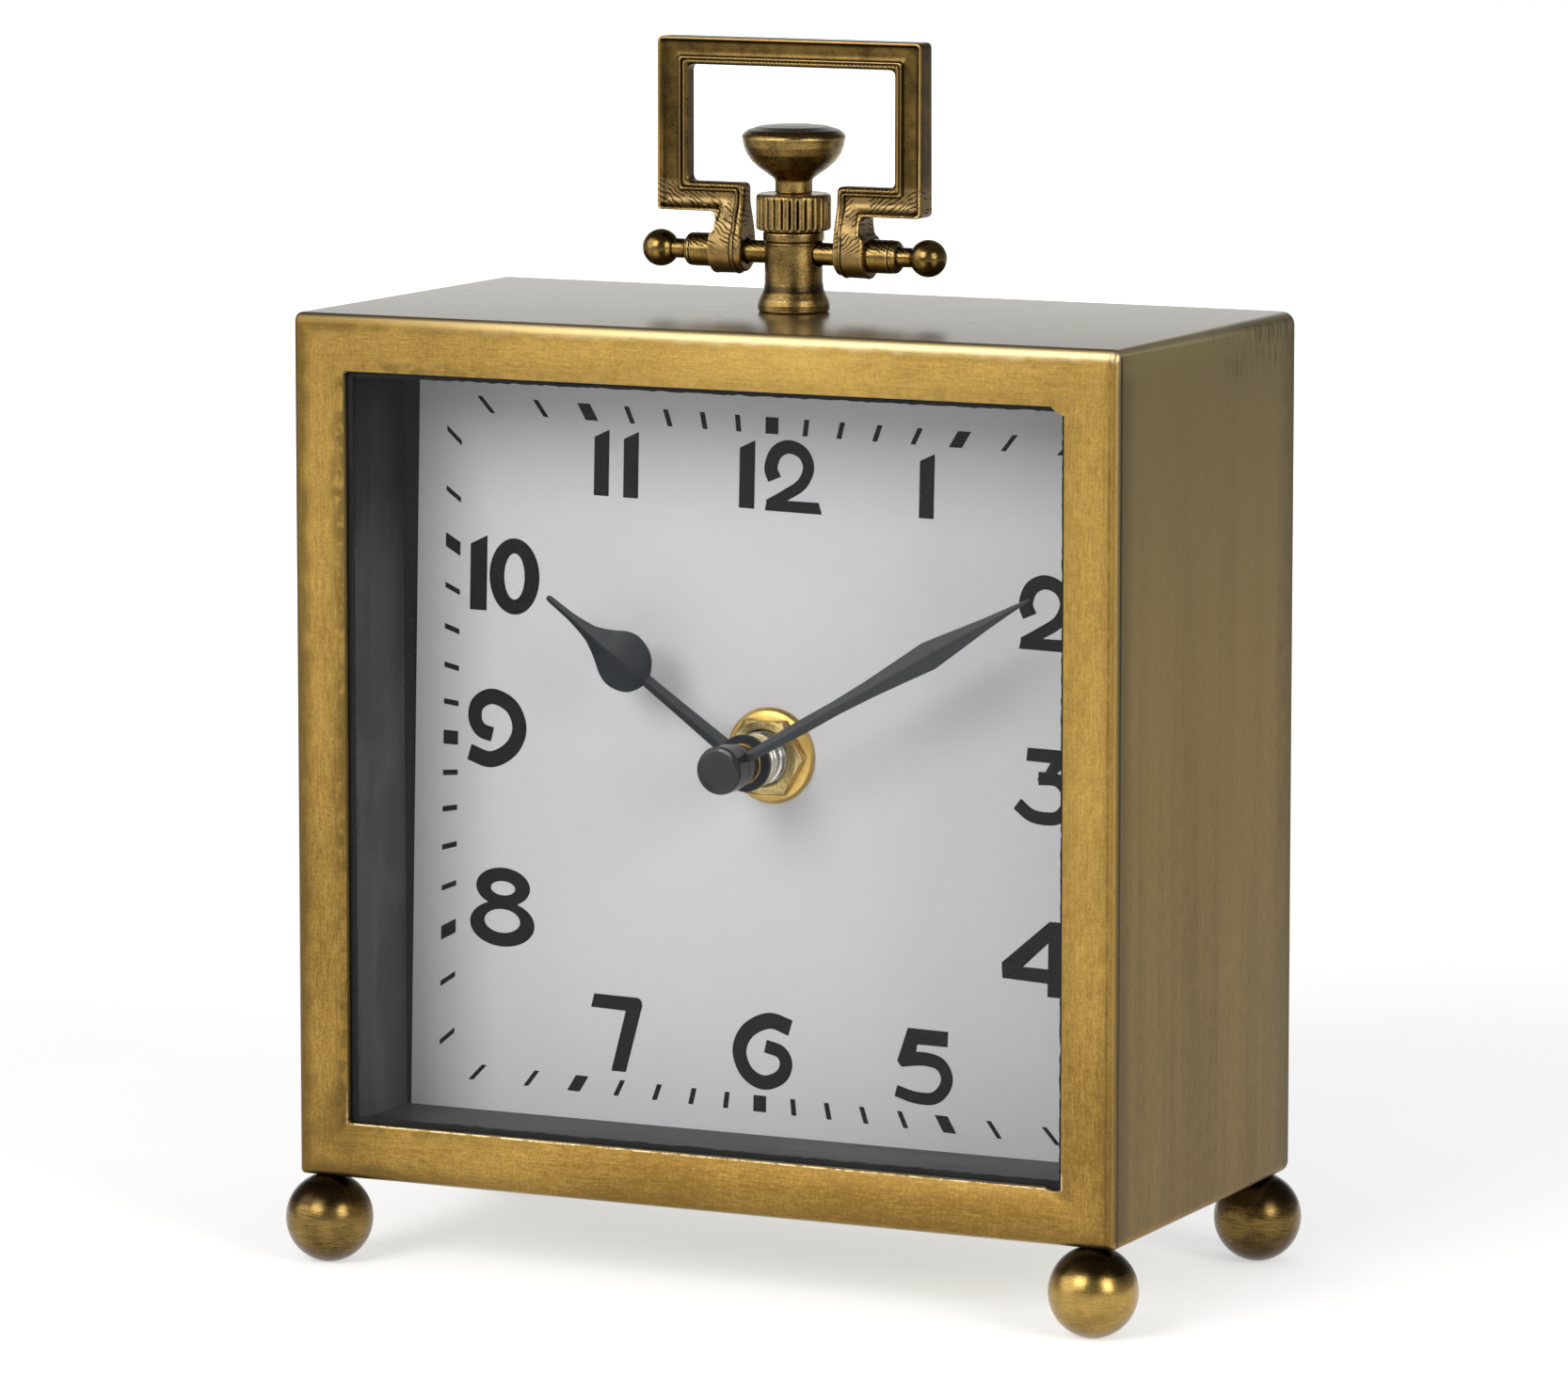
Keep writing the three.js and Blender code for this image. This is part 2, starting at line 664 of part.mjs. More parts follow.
// Going train: rotor, fifth, seconds, third and centre wheels, each pinion meshing with the next wheel
function goingTrain() {
  const centreWheel = cut(
    gear(centreTeeth, trainModule, centrePhase, centreLayer),
    shaft(minuteArborDiameter / 2 + runGap, centreLayer - cutOverrun, centreLayer + cutOverrun),
  );
  add('centre_wheel', centreWheel, 'nylon', atAxis(centreAxis));
  const members = [
    ['third_wheel', thirdAxis, thirdTeeth, thirdPhase, thirdLayer],
    ['seconds_wheel', secondsAxis, secondsTeeth, secondsPhase, secondsLayer],
    ['fifth_wheel', fifthAxis, fifthTeeth, fifthPhase, fifthLayer],
  ];
  for (const [name, axis, teeth, phase, layer] of members) {
    const pinionFront = layer - layerPitch;
    const member = join(
      shaft(arborRadius, arborFront, arborBack),
      gear(teeth, trainModule, phase, layer),
      gear(trainPinionTeeth, trainModule, 0, pinionFront, layerPitch + wheelThickness / 2),
    );
    add(name, member, 'nylon', atAxis(axis));
  }
  const magnetFront = fifthLayer + wheelThickness + slipGap;
  const rotor = join(
    shaft(arborRadius, arborFront, arborBack),
    gear(rotorPinionTeeth, trainModule, 0, fifthLayer, wheelThickness + slipGap + stackGap),
    slab(disc(rotorDiameter / 2), magnetFront, magnetFront + rotorLength),
  );
  add('rotor', rotor, 'steel', atAxis(rotorAxis));
}

// Motor and board: stator plate round the rotor, coil on its core, circuit board and crystal, and the
// bridge plate that holds them and the arbors
function motorAndBoard() {
  const statorWidth = coreLength;
  const statorLow = rotorAxis.z - rotorDiameter / 2 - slipGap - statorRim;
  const coilLevel = rotorAxis.z + rotorDiameter / 2 + slipGap + coreWidth + coilDiameter / 2;
  const statorHigh = coilLevel + coreWidth / 2;
  const statorHeight = statorHigh - statorLow;
  const statorMiddle = (statorHigh + statorLow) / 2;
  const stator = rectangle(statorWidth, statorHeight, 0, rotorAxis.x, statorMiddle);
  stator.holes.push(disc(rotorDiameter / 2 + slipGap, rotorAxis.x, rotorAxis.z));
  const slotHeight = coilDiameter + coreWidth;
  const coilSlot = block(
    rotorAxis.x - coilLength / 2 - slipGap, rotorAxis.x + coilLength / 2 + slipGap,
    statorFront - cutOverrun, statorFront + cutOverrun,
    coilLevel - coilDiameter / 2 - slipGap, coilLevel + slotHeight,
  );
  const plate = cut(slab(stator, statorFront, statorFront + statorThickness), coilSlot);
  add('stator', plate, 'steel', atAxis(centreAxis));
  const coreBack = statorFront - stackGap;
  const core = block(
    -coreLength / 2, coreLength / 2, coreBack - statorThickness, coreBack, -coreWidth / 2, coreWidth / 2,
  );
  const coilPlace = [rotorAxis.x, 0, shaftHeight + coilLevel];
  add('coil_core', core, 'steel', coilPlace);
  const coilMiddle = coreBack - statorThickness / 2;
  const winding = turnedAlongX(rod(coilDiameter / 2, -coilLength / 2, coilLength / 2), plainSides);
  const coreHole = block(
    -coreLength, coreLength, -statorThickness / 2 - stackGap, statorThickness / 2 + stackGap,
    -coreWidth / 2 - stackGap, coreWidth / 2 + stackGap,
  );
  add('coil', cut(winding, coreHole), 'copper', [coilPlace[0], coilMiddle, coilPlace[2]]);
  const roof = movementSize / 2 - movementWall;
  const boardLeft = -roof + slipGap;
  const boardTop = roof - slipGap;
  const board = block(
    boardLeft, boardLeft + boardWidth, statorFront, statorFront + boardThickness,
    boardTop - boardHeight, boardTop,
  );
  add('circuit_board', board, 'greenBoard', atAxis(centreAxis));
  const crystal = turnedAlongX(rod(crystalDiameter / 2, 0, crystalLength), smallSides);
  const crystalDepth = statorFront - crystalDiameter / 2 - stackGap;
  const crystalLevel = shaftHeight + boardTop - boardHeight / 2;
  add('quartz_crystal', crystal, 'silver', [boardLeft + slipGap, crystalDepth, crystalLevel]);
  const bridgeLow = thirdAxis.z - motionTeeth * motionModule / 2;
  const bridgeShelf = coilLevel - coilDiameter / 2 - slipGap;
  const bridgeRight = knobAxis.x + knobShaftDiameter;
  const bridge = outline([
    [boardLeft, bridgeLow],
    [bridgeRight, bridgeLow],
    [bridgeRight, bridgeShelf],
    [boardLeft + boardWidth, bridgeShelf],
    [boardLeft + boardWidth, boardTop],
    [boardLeft, boardTop],
  ]);
  bridge.holes.push(disc(knobShaftDiameter / 2 + runGap, knobAxis.x, knobAxis.z, smallSides));
  add('bridge_plate', slab(bridge, bridgeFront, bridgeFront + bridgeThickness), 'nylon', atAxis(centreAxis));
}

// Movement housing: a front tray, and a back cover that carries the battery bay
const bayInnerLength = movementSize - 2 * (movementWall + stackGap + bayWall);
const bayInnerHeight = batteryDiameter + 2 * slipGap;
const bayLow = -movementSize / 2 + movementWall + stackGap + bayWall;
const bayMiddle = bayLow + bayInnerHeight / 2;
const bayFloor = movementInner + stackGap + bayFloorWall;
const coverFront = movementBack - movementWall;

function housing() {
  const half = movementSize / 2;
  const inner = half - movementWall;
  const trayBack = coverFront - stackGap;
  const tray = cut(
    block(-half, half, movementFront, trayBack, -half, half),
    block(-inner, inner, movementInner, movementBack, -inner, inner),
    shaft(bushingDiameter / 2 + slipGap, movementFront - cutOverrun, movementInner + cutOverrun, fineSides),
  );
  add('movement_tray', tray, 'blackPlastic', [0, 0, shaftHeight]);
  const bayHalf = bayInnerLength / 2;
  const bayHigh = bayLow + bayInnerHeight;
  const cover = cut(
    join(
      block(-half, half, coverFront, movementBack, -half, half),
      block(
        -bayHalf - bayWall, bayHalf + bayWall, bayFloor - bayFloorWall, coverFront + movementWall / 2,
        bayLow - bayWall, bayHigh + bayWall,
      ),
    ),
    block(-bayHalf, bayHalf, bayFloor, movementBack + cutOverrun, bayLow, bayHigh),
    shaft(knobShaftDiameter / 2 + runGap, coverFront - cutOverrun, movementBack + cutOverrun)
      .translate(knobAxis.x, 0, knobAxis.z),
  );
  add('movement_cover', cover, 'blackPlastic', [0, 0, shaftHeight]);
}

function battery() {
  const axisDepth = bayFloor + slipGap + batteryDiameter / 2;
  const wallX = bayInnerLength / 2;
  const contactX = wallX - stackGap - contactThickness;
  const reach = contactSize / 2;
  const plusPlate = block(contactX, contactX + contactThickness, -reach, reach, -reach, reach);
  const place = [0, axisDepth, shaftHeight + bayMiddle];
  add('battery_contact_plus', plusPlate, 'silver', place);
  const boss = rod(contactBossDiameter / 2, -contactX - stackGap, -contactX + contactBossLength);
  const minusPlate = join(
    block(-contactX - contactThickness, -contactX, -reach, reach, -reach, reach),
    turnedAlongX(boss, smallSides),
  );
  add('battery_contact_minus', minusPlate, 'silver', place);
  const minusEnd = -contactX + contactBossLength + stackGap;
  const shoulder = minusEnd + batteryLength - batteryNubLength;
  const nubEnd = shoulder + batteryNubLength;
  const cell = turnedAlongX([
    [0, minusEnd],
    [batteryDiameter / 2, minusEnd],
    [batteryDiameter / 2, shoulder],
    [batteryNubDiameter / 2, shoulder],
    [batteryNubDiameter / 2, nubEnd],
    [0, nubEnd],
  ], plainSides);
  add('battery', cell, 'label', place);
}

// Set knob: its pinion meshes with the motion wheel, and its disc is turned by hand at the back
function setKnob() {
  const knobFront = movementBack + slipGap;
  const knob = join(
    shaft(arborRadius, arborFront, motionLayer + wheelThickness),
    gear(knobTeeth, motionModule, knobPhase, motionLayer),
    shaft(knobShaftDiameter / 2, motionLayer + wheelThickness / 2, knobFront + stackGap),
    slab(disc(knobDiameter / 2, 0, 0, fineSides), knobFront, knobFront + knobLength),
  );
  add('set_knob', knob, 'blackPlastic', atAxis(knobAxis));
}

// Hands: drawn pointing up at twelve, then turned to ten past ten
function hourHandShape() {
  const root = hourHubDiameter / 4;
  const rootHalf = hourArmRoot / 2;
  const neckHalf = hourArmEnd / 2;
  const bulbHalf = hourBulbWidth / 2;
  const throatHalf = hourThroatWidth / 2;
  const tipHalf = hourTipWidth / 2;
  const neck = hourNeckShare * hourHandLength;
  const bulb = hourBulbShare * hourHandLength;
  const throat = hourThroatShare * hourHandLength;
  const shape = new THREE.Shape();
  shape.moveTo(rootHalf, root);
  shape.lineTo(neckHalf, neck);
  shape.bezierCurveTo(bulbHalf, neck, bulbHalf, bulb, bulbHalf, bulb);
  shape.bezierCurveTo(bulbHalf, bulb + hourCheekReach, throatHalf, throat - bulbHalf, throatHalf, throat);
  shape.lineTo(tipHalf, hourHandLength);
  shape.lineTo(-tipHalf, hourHandLength);
  shape.lineTo(-throatHalf, throat);
  shape.bezierCurveTo(-throatHalf, throat - bulbHalf, -bulbHalf, bulb + hourCheekReach, -bulbHalf, bulb);
  shape.bezierCurveTo(-bulbHalf, bulb, -bulbHalf, neck, -neckHalf, neck);
  shape.lineTo(-rootHalf, root);
  return shape;
}

function hands() {
  const hourFront = dialFront - hourHandStand;
  const hourBore = hourTubeDiameter / 2 + stackGap;
  const hourBack = hourFront + handThickness;
  const hourBlade = join(
    slab(hourHandShape(), hourFront, hourBack, arcSteps),
    shaft(hourHubDiameter / 2, hourFront, hourBack, fineSides),
    shaft(hourColletDiameter / 2, hourFront, hourBack + hourColletLength, fineSides),
  );
  const hourHole = shaft(hourBore, hourFront - cutOverrun, hourFront + hourColletLength + cutOverrun);
  const centre = [0, 0, shaftHeight];
  const hourTurn = THREE.MathUtils.degToRad(hourHandDegrees);
  add('hour_hand', cut(hourBlade, hourHole), 'blackMetal', centre, hourTurn);
  const minuteFront = dialFront - minuteHandStand;
  const minuteBore = minuteArborDiameter / 2 + stackGap;
  const rootHalf = minuteRootWidth / 2;
  const bladeHalf = minuteBladeWidth / 2;
  const tipHalf = minuteTipWidth / 2;
  const minuteBladePlace = minuteBladeShare * minuteHandLength;
  const blade = outline([
    [rootHalf, 0],
    [bladeHalf, minuteBladePlace],
    [tipHalf, minuteHandLength],
    [-tipHalf, minuteHandLength],
    [-bladeHalf, minuteBladePlace],
    [-rootHalf, 0],
  ]);
  const minuteBlade = join(
    slab(blade, minuteFront, minuteFront + handThickness),
    slab(disc(minuteHubDiameter / 2), minuteFront, minuteFront + handThickness),
  );
  const minuteHole = shaft(minuteBore, minuteFront - cutOverrun, minuteFront + cutOverrun);
  const minuteTurn = THREE.MathUtils.degToRad(minuteHandDegrees);
  add('minute_hand', cut(minuteBlade, minuteHole), 'blackMetal', centre, minuteTurn);
  const bushFront = minuteFront + handThickness + stackGap;
  const bushBack = dialFront - hourHandStand - handThickness - slipGap;
  const bush = ring(minuteBore, minuteBushDiameter / 2, bushFront, bushBack);
  add('minute_hand_bush', turnedAlongY(bush, plainSides), 'polishedBrass', centre);
  const capBack = minuteFront - stackGap;
  const capFront = capBack - capLength;
  const capHole = minuteArborDiameter / 2 + stackGap;
  const arborEnd = minuteFront - handThickness - capLength / 2 - stackGap;
  const cap = [
    [0, capFront],
    [capDiameter / 2 - capChamfer, capFront],
    [capDiameter / 2, capFront + capChamfer],
    [capDiameter / 2, capBack],
    [capHole, capBack],
    [capHole, arborEnd],
    [0, arborEnd],
  ];
  add('hand_cap', turnedAlongY(cap), 'blackPlastic', centre);
}

// Back panel with its opening for the hand, on four bent brackets, held by four screws
function backPanel() {
  const panelBack = back - panelRecess;
  const panelFront = panelBack - panelSheet;
  const screwX = innerHalfWidth - panelScrewInset;
  const screwZ = (innerTop - innerFloor) / 2 - panelScrewInset;
  const panel = rectangle(2 * (innerHalfWidth - slipGap), innerTop - innerFloor - 2 * slipGap);
  panel.holes.push(rectangle(panelOpening, panelOpening, panelCorner, 0, shaftHeight - caseMiddle));
  const tabBack = panelFront - stackGap;
  const wall = innerHalfWidth - stackGap;
  for (const [sideName, side] of [['left', -1], ['right', 1]]) {
    const profile = outline([
      [side * wall, tabBack - bracketLength],
      [side * (wall - bracketSheet), tabBack - bracketLength],
      [side * (wall - bracketSheet), tabBack - bracketSheet],
      [side * (wall - bracketReach), tabBack - bracketSheet],
      [side * (wall - bracketReach), tabBack],
      [side * wall, tabBack],
    ]);
    const bracket = new THREE.ExtrudeGeometry(profile, { depth: bracketHeight, bevelEnabled: false })
      .translate(0, 0, -bracketHeight / 2);
    const hole = shaft(panelScrewDiameter / 2 + stackGap, tabBack - cutOverrun, tabBack + cutOverrun)
      .translate(side * screwX, 0, 0);
    const drilled = cut(bracket, hole);
    for (const [levelName, level] of [['lower', -1], ['upper', 1]]) {
      const z = caseMiddle + level * screwZ;
      const name = `${levelName}_${sideName}`;
      add(`panel_bracket_${name}`, drilled.clone(), 'steel', [0, 0, z]);
      panel.holes.push(disc(panelScrewDiameter / 2 + slipGap, side * screwX, level * screwZ, smallSides));
      const screw = turnedAlongY([
        [0, -panelScrewLength],
        [panelScrewDiameter / 2, -panelScrewLength],
        [panelScrewDiameter / 2, 0],
        [panelHeadDiameter / 2, 0],
        [panelHeadDiameter / 2, panelHeadHeight / 2],
        [panelHeadDiameter / 4, panelHeadHeight],
        [0, panelHeadHeight],
      ], smallSides);
      add(`panel_screw_${name}`, screw, 'steel', [side * screwX, panelBack + stackGap, z]);
    }
  }
  add('back_panel', slab(panel, panelFront, panelBack), 'blackPaint', [0, 0, caseMiddle]);
}

// Column: a flared foot, a waisted body, a grooved shoulder and a spigot for the collar and the crown
function column() {
  const base = columnBaseDiameter / 2;
  const waist = columnDiameter / 2;
  const shoulder = columnShoulderDiameter / 2;
  const spigot = spigotDiameter / 2;
  const screwBore = columnScrewDiameter / 2 + slipGap;
  const boreDepth = columnScrewLength + slipGap;
  const shankBore = crownShankDiameter / 2 + slipGap;
  const shoulderLow = columnHeight - columnShoulderHeight;
  const grooveLow = columnHeight - columnShoulderHeight / 2 - grooveHeight;
  const spigotTop = columnHeight + collarHeight;
  const flareRise = columnFlareHeight - columnBaseHeight;
  const body = turnedAlongZ([
    [0, boreDepth],
    [screwBore, boreDepth],
    [screwBore, 0],
    [base - grooveDepth, 0],
    [base, columnBaseHeight / 4],
    [base, columnBaseHeight / 2],
    [base - grooveDepth, columnBaseHeight],
    [(base + waist) / 2, columnBaseHeight + flareRise / 3],
    [waist + grooveDepth, columnBaseHeight + (2 * flareRise) / 3],
    [waist, columnFlareHeight],
    [waist, shoulderLow - columnShoulderHeight / 2],
    [shoulder, shoulderLow],
    [shoulder, grooveLow],
    [shoulder - grooveDepth, grooveLow],
    [shoulder - grooveDepth, grooveLow + grooveHeight],
    [shoulder, grooveLow + grooveHeight],
    [shoulder, columnHeight],
    [spigot, columnHeight],
    [spigot, spigotTop],
    [shankBore, spigotTop],
    [shankBore, spigotTop - crownShankLength - slipGap],
    [0, spigotTop - crownShankLength - slipGap],
  ]);
  const rodHole = turnedAlongX(rod(rodDiameter / 2 + runGap, -columnDiameter, columnDiameter), plainSides)
    .translate(0, 0, pivotHeight);
  add('column', cut(body, rodHole), 'bronze', [0, 0, caseTop]);
}

function knurledCollar() {
  const points = [];
  for (let i = 0; i < 2 * fluteCount; i += 1) {
    const radius = collarDiameter / 2 - (i % 2 === 0 ? 0 : fluteDepth);
    const angle = (Math.PI * i) / fluteCount;
    points.push([radius * Math.cos(angle), radius * Math.sin(angle)]);
  }
  const shape = outline(points);
  shape.holes.push(disc(spigotDiameter / 2 + slipGap));
  const flutes = new THREE.ExtrudeGeometry(shape, {
    depth: collarHeight - stackGap - 2 * fluteDepth,
    bevelThickness: fluteDepth,
    bevelSize: fluteDepth,
    bevelOffset: -fluteDepth,
    bevelSegments: 1,
  });
  flutes.translate(0, 0, fluteDepth);
  const bore = turnedAlongZ(rod(spigotDiameter / 2 + slipGap, -cutOverrun, collarHeight + cutOverrun));
  add('knurled_collar', cut(flutes, bore), 'bronze', [0, 0, caseTop + columnHeight + stackGap]);
}

// Crown knob: a short neck under a flattened knob, like the crown of a pocket watch
const crownProfileShares = [
  [0.42, 0.045],
  [0.6, 0.2],
  [0.71, 0.34],
  [0.9, 0.62],
  [0.985, 0.8],
  [1, 0.9],
];
const crownTopShares = [
  [0.97, 0.25],
  [0.87, 0.55],
  [0.62, 0.83],
  [0.32, 0.97],
];

function crownKnob() {
  const radius = crownDiameter / 2;
  const rise = crownRimHeight;
  const crownTopRise = crownHeight - crownRimHeight;
  const knob = turnedAlongZ([
    [0, -crownShankLength],
    [crownShankDiameter / 2, -crownShankLength],
    [crownShankDiameter / 2, 0],
    [crownNeckDiameter / 2, 0],
    [crownNeckDiameter / 2, crownNeckHeight],
    ...crownProfileShares.map(([across, up]) => [across * radius, crownNeckHeight + up * rise]),
    ...crownTopShares.map(([across, up]) => [across * radius, crownNeckHeight + rise + up * crownTopRise]),
    [0, crownNeckHeight + crownHeight],
  ]);
  add('crown_knob', knob, 'bronze', [0, 0, caseTop + columnHeight + collarHeight + stackGap]);
}

function columnScrew() {
  const washerTop = innerTop - stackGap;
  const washerLow = washerTop - columnWasherThickness;
  const bore = columnScrewDiameter / 2 + slipGap;
  const washer = turnedAlongZ(ring(bore, columnWasherDiameter / 2, washerLow, washerTop), plainSides);
  add('column_washer', washer, 'steel');
  const headTop = washerLow - stackGap;
  const screw = turnedAlongZ([
    [0, headTop - columnHeadHeight],
    [columnHeadDiameter / 2, headTop - columnHeadHeight],
    [columnHeadDiameter / 2, headTop],
    [columnScrewDiameter / 2, headTop],
    [columnScrewDiameter / 2, caseTop + columnScrewLength],
    [0, caseTop + columnScrewLength],
  ], plainSides);
  add('column_screw', screw, 'steel');
}

// Crossbar: a rod through the column with a turned finial on each end, outside the handle's ears
const earOuter = legInner + legWidth;
const finialStart = earOuter + slipGap;

function crossbar() {
  const rodEnd = finialStart - stackGap;
  const studEnd = rodEnd + rodStudLength;
  const bar = turnedAlongX([
    [0, -studEnd],
    [rodStudDiameter / 2, -studEnd],
    [rodStudDiameter / 2, -rodEnd],
    [rodDiameter / 2, -rodEnd],
    [rodDiameter / 2, rodEnd],
    [rodStudDiameter / 2, rodEnd],
    [rodStudDiameter / 2, studEnd],
    [0, studEnd],
  ], plainSides);
  add('handle_rod', bar, 'bronze', [0, 0, pivotLevel]);
  const ball = finialBallDiameter / 2;
  const neck = finialNeckDiameter / 2;
  const collar = finialCollarDiameter / 2;
  const bore = rodStudDiameter / 2 + slipGap;
  const neckDegrees = THREE.MathUtils.radToDeg(Math.acos(neck / ball));
  const boreEnd = rodStudLength + slipGap;
  const finial = turnedAlongX([
    [0, boreEnd],
    [bore, boreEnd],
    [bore, 0],
    [collar, 0],
    [collar, finialCollarLength - stackGap],
    [collar - stackGap, finialCollarLength],
    [neck, finialCollarLength],
    ...arc(finialBallPlace, ball, -neckDegrees, 90, arcSteps).slice(0, -1),
    [0, finialBallPlace + ball],
  ], plainSides);
  add('rod_finial_right', finial, 'bronze', [finialStart, 0, pivotLevel]);
  const mirrored = finial.clone().rotateZ(Math.PI);
  add('rod_finial_left', mirrored, 'bronze', [-finialStart, 0, pivotLevel]);
}

// Handle: a key-shaped bail with a moulded channel on both faces and a round ear on each leg
function keyOutline(inset) {
  const outer = handleHalfWidth - inset;
  const top = handleTop - inset;
  const inner = handleHalfWidth - handleSideWidth + inset;
  const underTop = handleTop - handleTopWidth + inset;
  const armTop = armUnder + armWidth - inset;
  const armLow = armUnder + inset;
  const legOut = legInner + legWidth - inset;
  const legIn = legInner + inset;
  const right = [
    [legIn, 0], [legOut, 0], [legOut, armLow], [outer, armLow], [outer, top],
  ];
  const rightInside = [[inner, underTop], [inner, armTop], [legIn, armTop]];
  const mirror = ([x, z]) => [-x, z];
  return outline([
    ...right,
    ...right.map(mirror).reverse(),
    ...rightInside.map(mirror).reverse(),
    ...rightInside,
  ]);
}

function handle() {
  const half = handleThickness / 2;
  const frame = handleFrame(half);
  const legs = [];
  for (const side of [-1, 1]) {
    const middle = side * (legInner + legWidth / 2);
    const ear = turnedAlongX(rod(earDiameter / 2, -legWidth / 2, legWidth / 2), plainSides);
    legs.push(ear.translate(middle, 0, 0));
    legs.push(legWedge(middle, half));
  }
  const bore = turnedAlongX(rod(rodDiameter / 2 + runGap, -handleHalfWidth, handleHalfWidth), plainSides);
  add('handle', cut(join(frame, ...legs), bore), 'bronze', [0, 0, pivotLevel]);
}

function handleFrame(half) {
  const whole = slab(keyOutline(0), -half, half);
  const groove = keyOutline(channelInset);
  const frontGroove = slab(groove, -half - cutOverrun, -half + channelDepth);
  const backGroove = slab(groove, half - channelDepth, half + cutOverrun);
  return cut(whole, frontGroove, backGroove);
}

// The leg widens from the frame's thickness down to the ear, seen from the side
function legWedge(middle, half) {
  const ear = earDiameter / 2;
  const side = new THREE.Shape();
  side.moveTo(-ear, 0);
  side.lineTo(ear, 0);
  side.lineTo(half, armUnder + armWidth);
  side.lineTo(-half, armUnder + armWidth);
  const wedge = new THREE.ExtrudeGeometry(side, { depth: legWidth, bevelEnabled: false });
  return wedge.rotateX(Math.PI / 2).rotateZ(Math.PI / 2).translate(middle - legWidth / 2, 0, 0);
}

caseShell();
feet();
glazing();
dial();
bushingAndNut();
motionWork();
goingTrain();
motorAndBoard();
housing();
battery();
setKnob();
hands();
backPanel();
column();
knurledCollar();
crownKnob();
columnScrew();
crossbar();
handle();

export default clock;
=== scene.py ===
# %% [markdown]
# # A square brass table clock
#
# The clock is a folded sheet-metal case on four ball feet. Behind its window a paper dial sits
# deep in a black liner, with black hands on a quartz movement, and on its top a small bail
# handle swings on a crossbar under a crown knob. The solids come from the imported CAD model,
# which carries every size and joint. This script dresses them: it gives each solid its finish,
# and where the real piece has rounded edges, knurls or mouldings it builds a finer piece in
# the same place.

# %% Load the solids
import json
from math import asin, cos, hypot, pi, radians, sin, tan

import bmesh
import bpy
from mathutils import Matrix, Vector, noise
from mathutils.geometry import tessellate_polygon


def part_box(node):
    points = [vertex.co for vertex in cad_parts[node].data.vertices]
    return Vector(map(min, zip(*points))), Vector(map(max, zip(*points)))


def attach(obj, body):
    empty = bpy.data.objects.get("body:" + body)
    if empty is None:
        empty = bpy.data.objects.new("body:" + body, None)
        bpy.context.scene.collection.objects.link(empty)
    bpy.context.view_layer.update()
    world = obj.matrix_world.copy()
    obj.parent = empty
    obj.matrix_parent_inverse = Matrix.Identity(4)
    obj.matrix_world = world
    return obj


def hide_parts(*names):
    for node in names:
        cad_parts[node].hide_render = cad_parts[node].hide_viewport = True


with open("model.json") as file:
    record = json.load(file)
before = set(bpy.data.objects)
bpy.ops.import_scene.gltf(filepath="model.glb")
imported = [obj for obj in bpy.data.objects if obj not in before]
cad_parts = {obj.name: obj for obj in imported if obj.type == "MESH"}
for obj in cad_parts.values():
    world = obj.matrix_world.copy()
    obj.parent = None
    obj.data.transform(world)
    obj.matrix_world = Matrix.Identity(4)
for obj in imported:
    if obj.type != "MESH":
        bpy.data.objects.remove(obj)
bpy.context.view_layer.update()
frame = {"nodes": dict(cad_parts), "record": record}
nodes = frame["nodes"]

# %% [markdown]
# ## Sizes
#
# Everything is measured from the solids, so a change there moves the dressing with it. Blender
# works in metres here and the sizes of the pieces are easier to read in millimetres, so a
# millimetre gets a name of its own.

# %% Sizes read from the solids
mm = 0.001


def corners_of(solid):
    """The lowest and the highest corner of a solid's box, in millimetres."""
    return [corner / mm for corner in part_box(solid)]


def height_of(solid):
    """How high up the middle of a solid's box is, in millimetres."""
    low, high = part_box(solid)
    return (low + high).z / 2 / mm


case_low, case_high = corners_of("case_shell")
case_half = (case_high - case_low) / 2
case_middle = height_of("case_shell")
pivot_up = height_of("handle_rod")
shaft_up = height_of("threaded_bushing")
print(f"hands turn {shaft_up:.1f} mm up, the handle {pivot_up:.1f} mm up")

# %% [markdown]
# ## Camera
#
# The photograph was taken with a long lens from the right, a little above the clock. The angle,
# distance and focal length were fitted to the case corners, the dial marks and the feet, so the
# render can be laid over the photograph. No shift is needed.

# %% Camera
def in_scene(name, data):
    """A new object in the scene."""
    thing = bpy.data.objects.new(name, data)
    bpy.context.scene.collection.objects.link(thing)
    return thing


def direction_to(azimuth, elevation):
    """From the clock towards that azimuth and elevation, in degrees."""
    a, e = radians(azimuth), radians(elevation)
    return Vector((sin(a) * cos(e), -cos(a) * cos(e), sin(e)))


def facing(thing, target, towards, distance):
    """Stands a camera or a lamp that far from its target, and turns it to face it."""
    thing.location = target + distance * towards
    thing.rotation_mode = "QUATERNION"
    thing.rotation_quaternion = (-towards).to_track_quat("-Z", "Y")


camera_azimuth, camera_elevation = 25.84, 7.9
camera_distance = 1266.45 * mm
camera_target = Vector((1.41, -6.2, case_low.z + 73.77)) * mm
camera_data = bpy.data.cameras.new("camera")
camera_data.lens = 198.35
camera_data.sensor_width = 36
camera_data.clip_end = 20
camera = in_scene("camera", camera_data)
facing(camera, camera_target, direction_to(camera_azimuth, camera_elevation), camera_distance)
bpy.context.scene.camera = camera
bpy.context.scene.view_settings.view_transform = "Standard"
print(f"camera {camera_distance / mm:.0f} mm away")

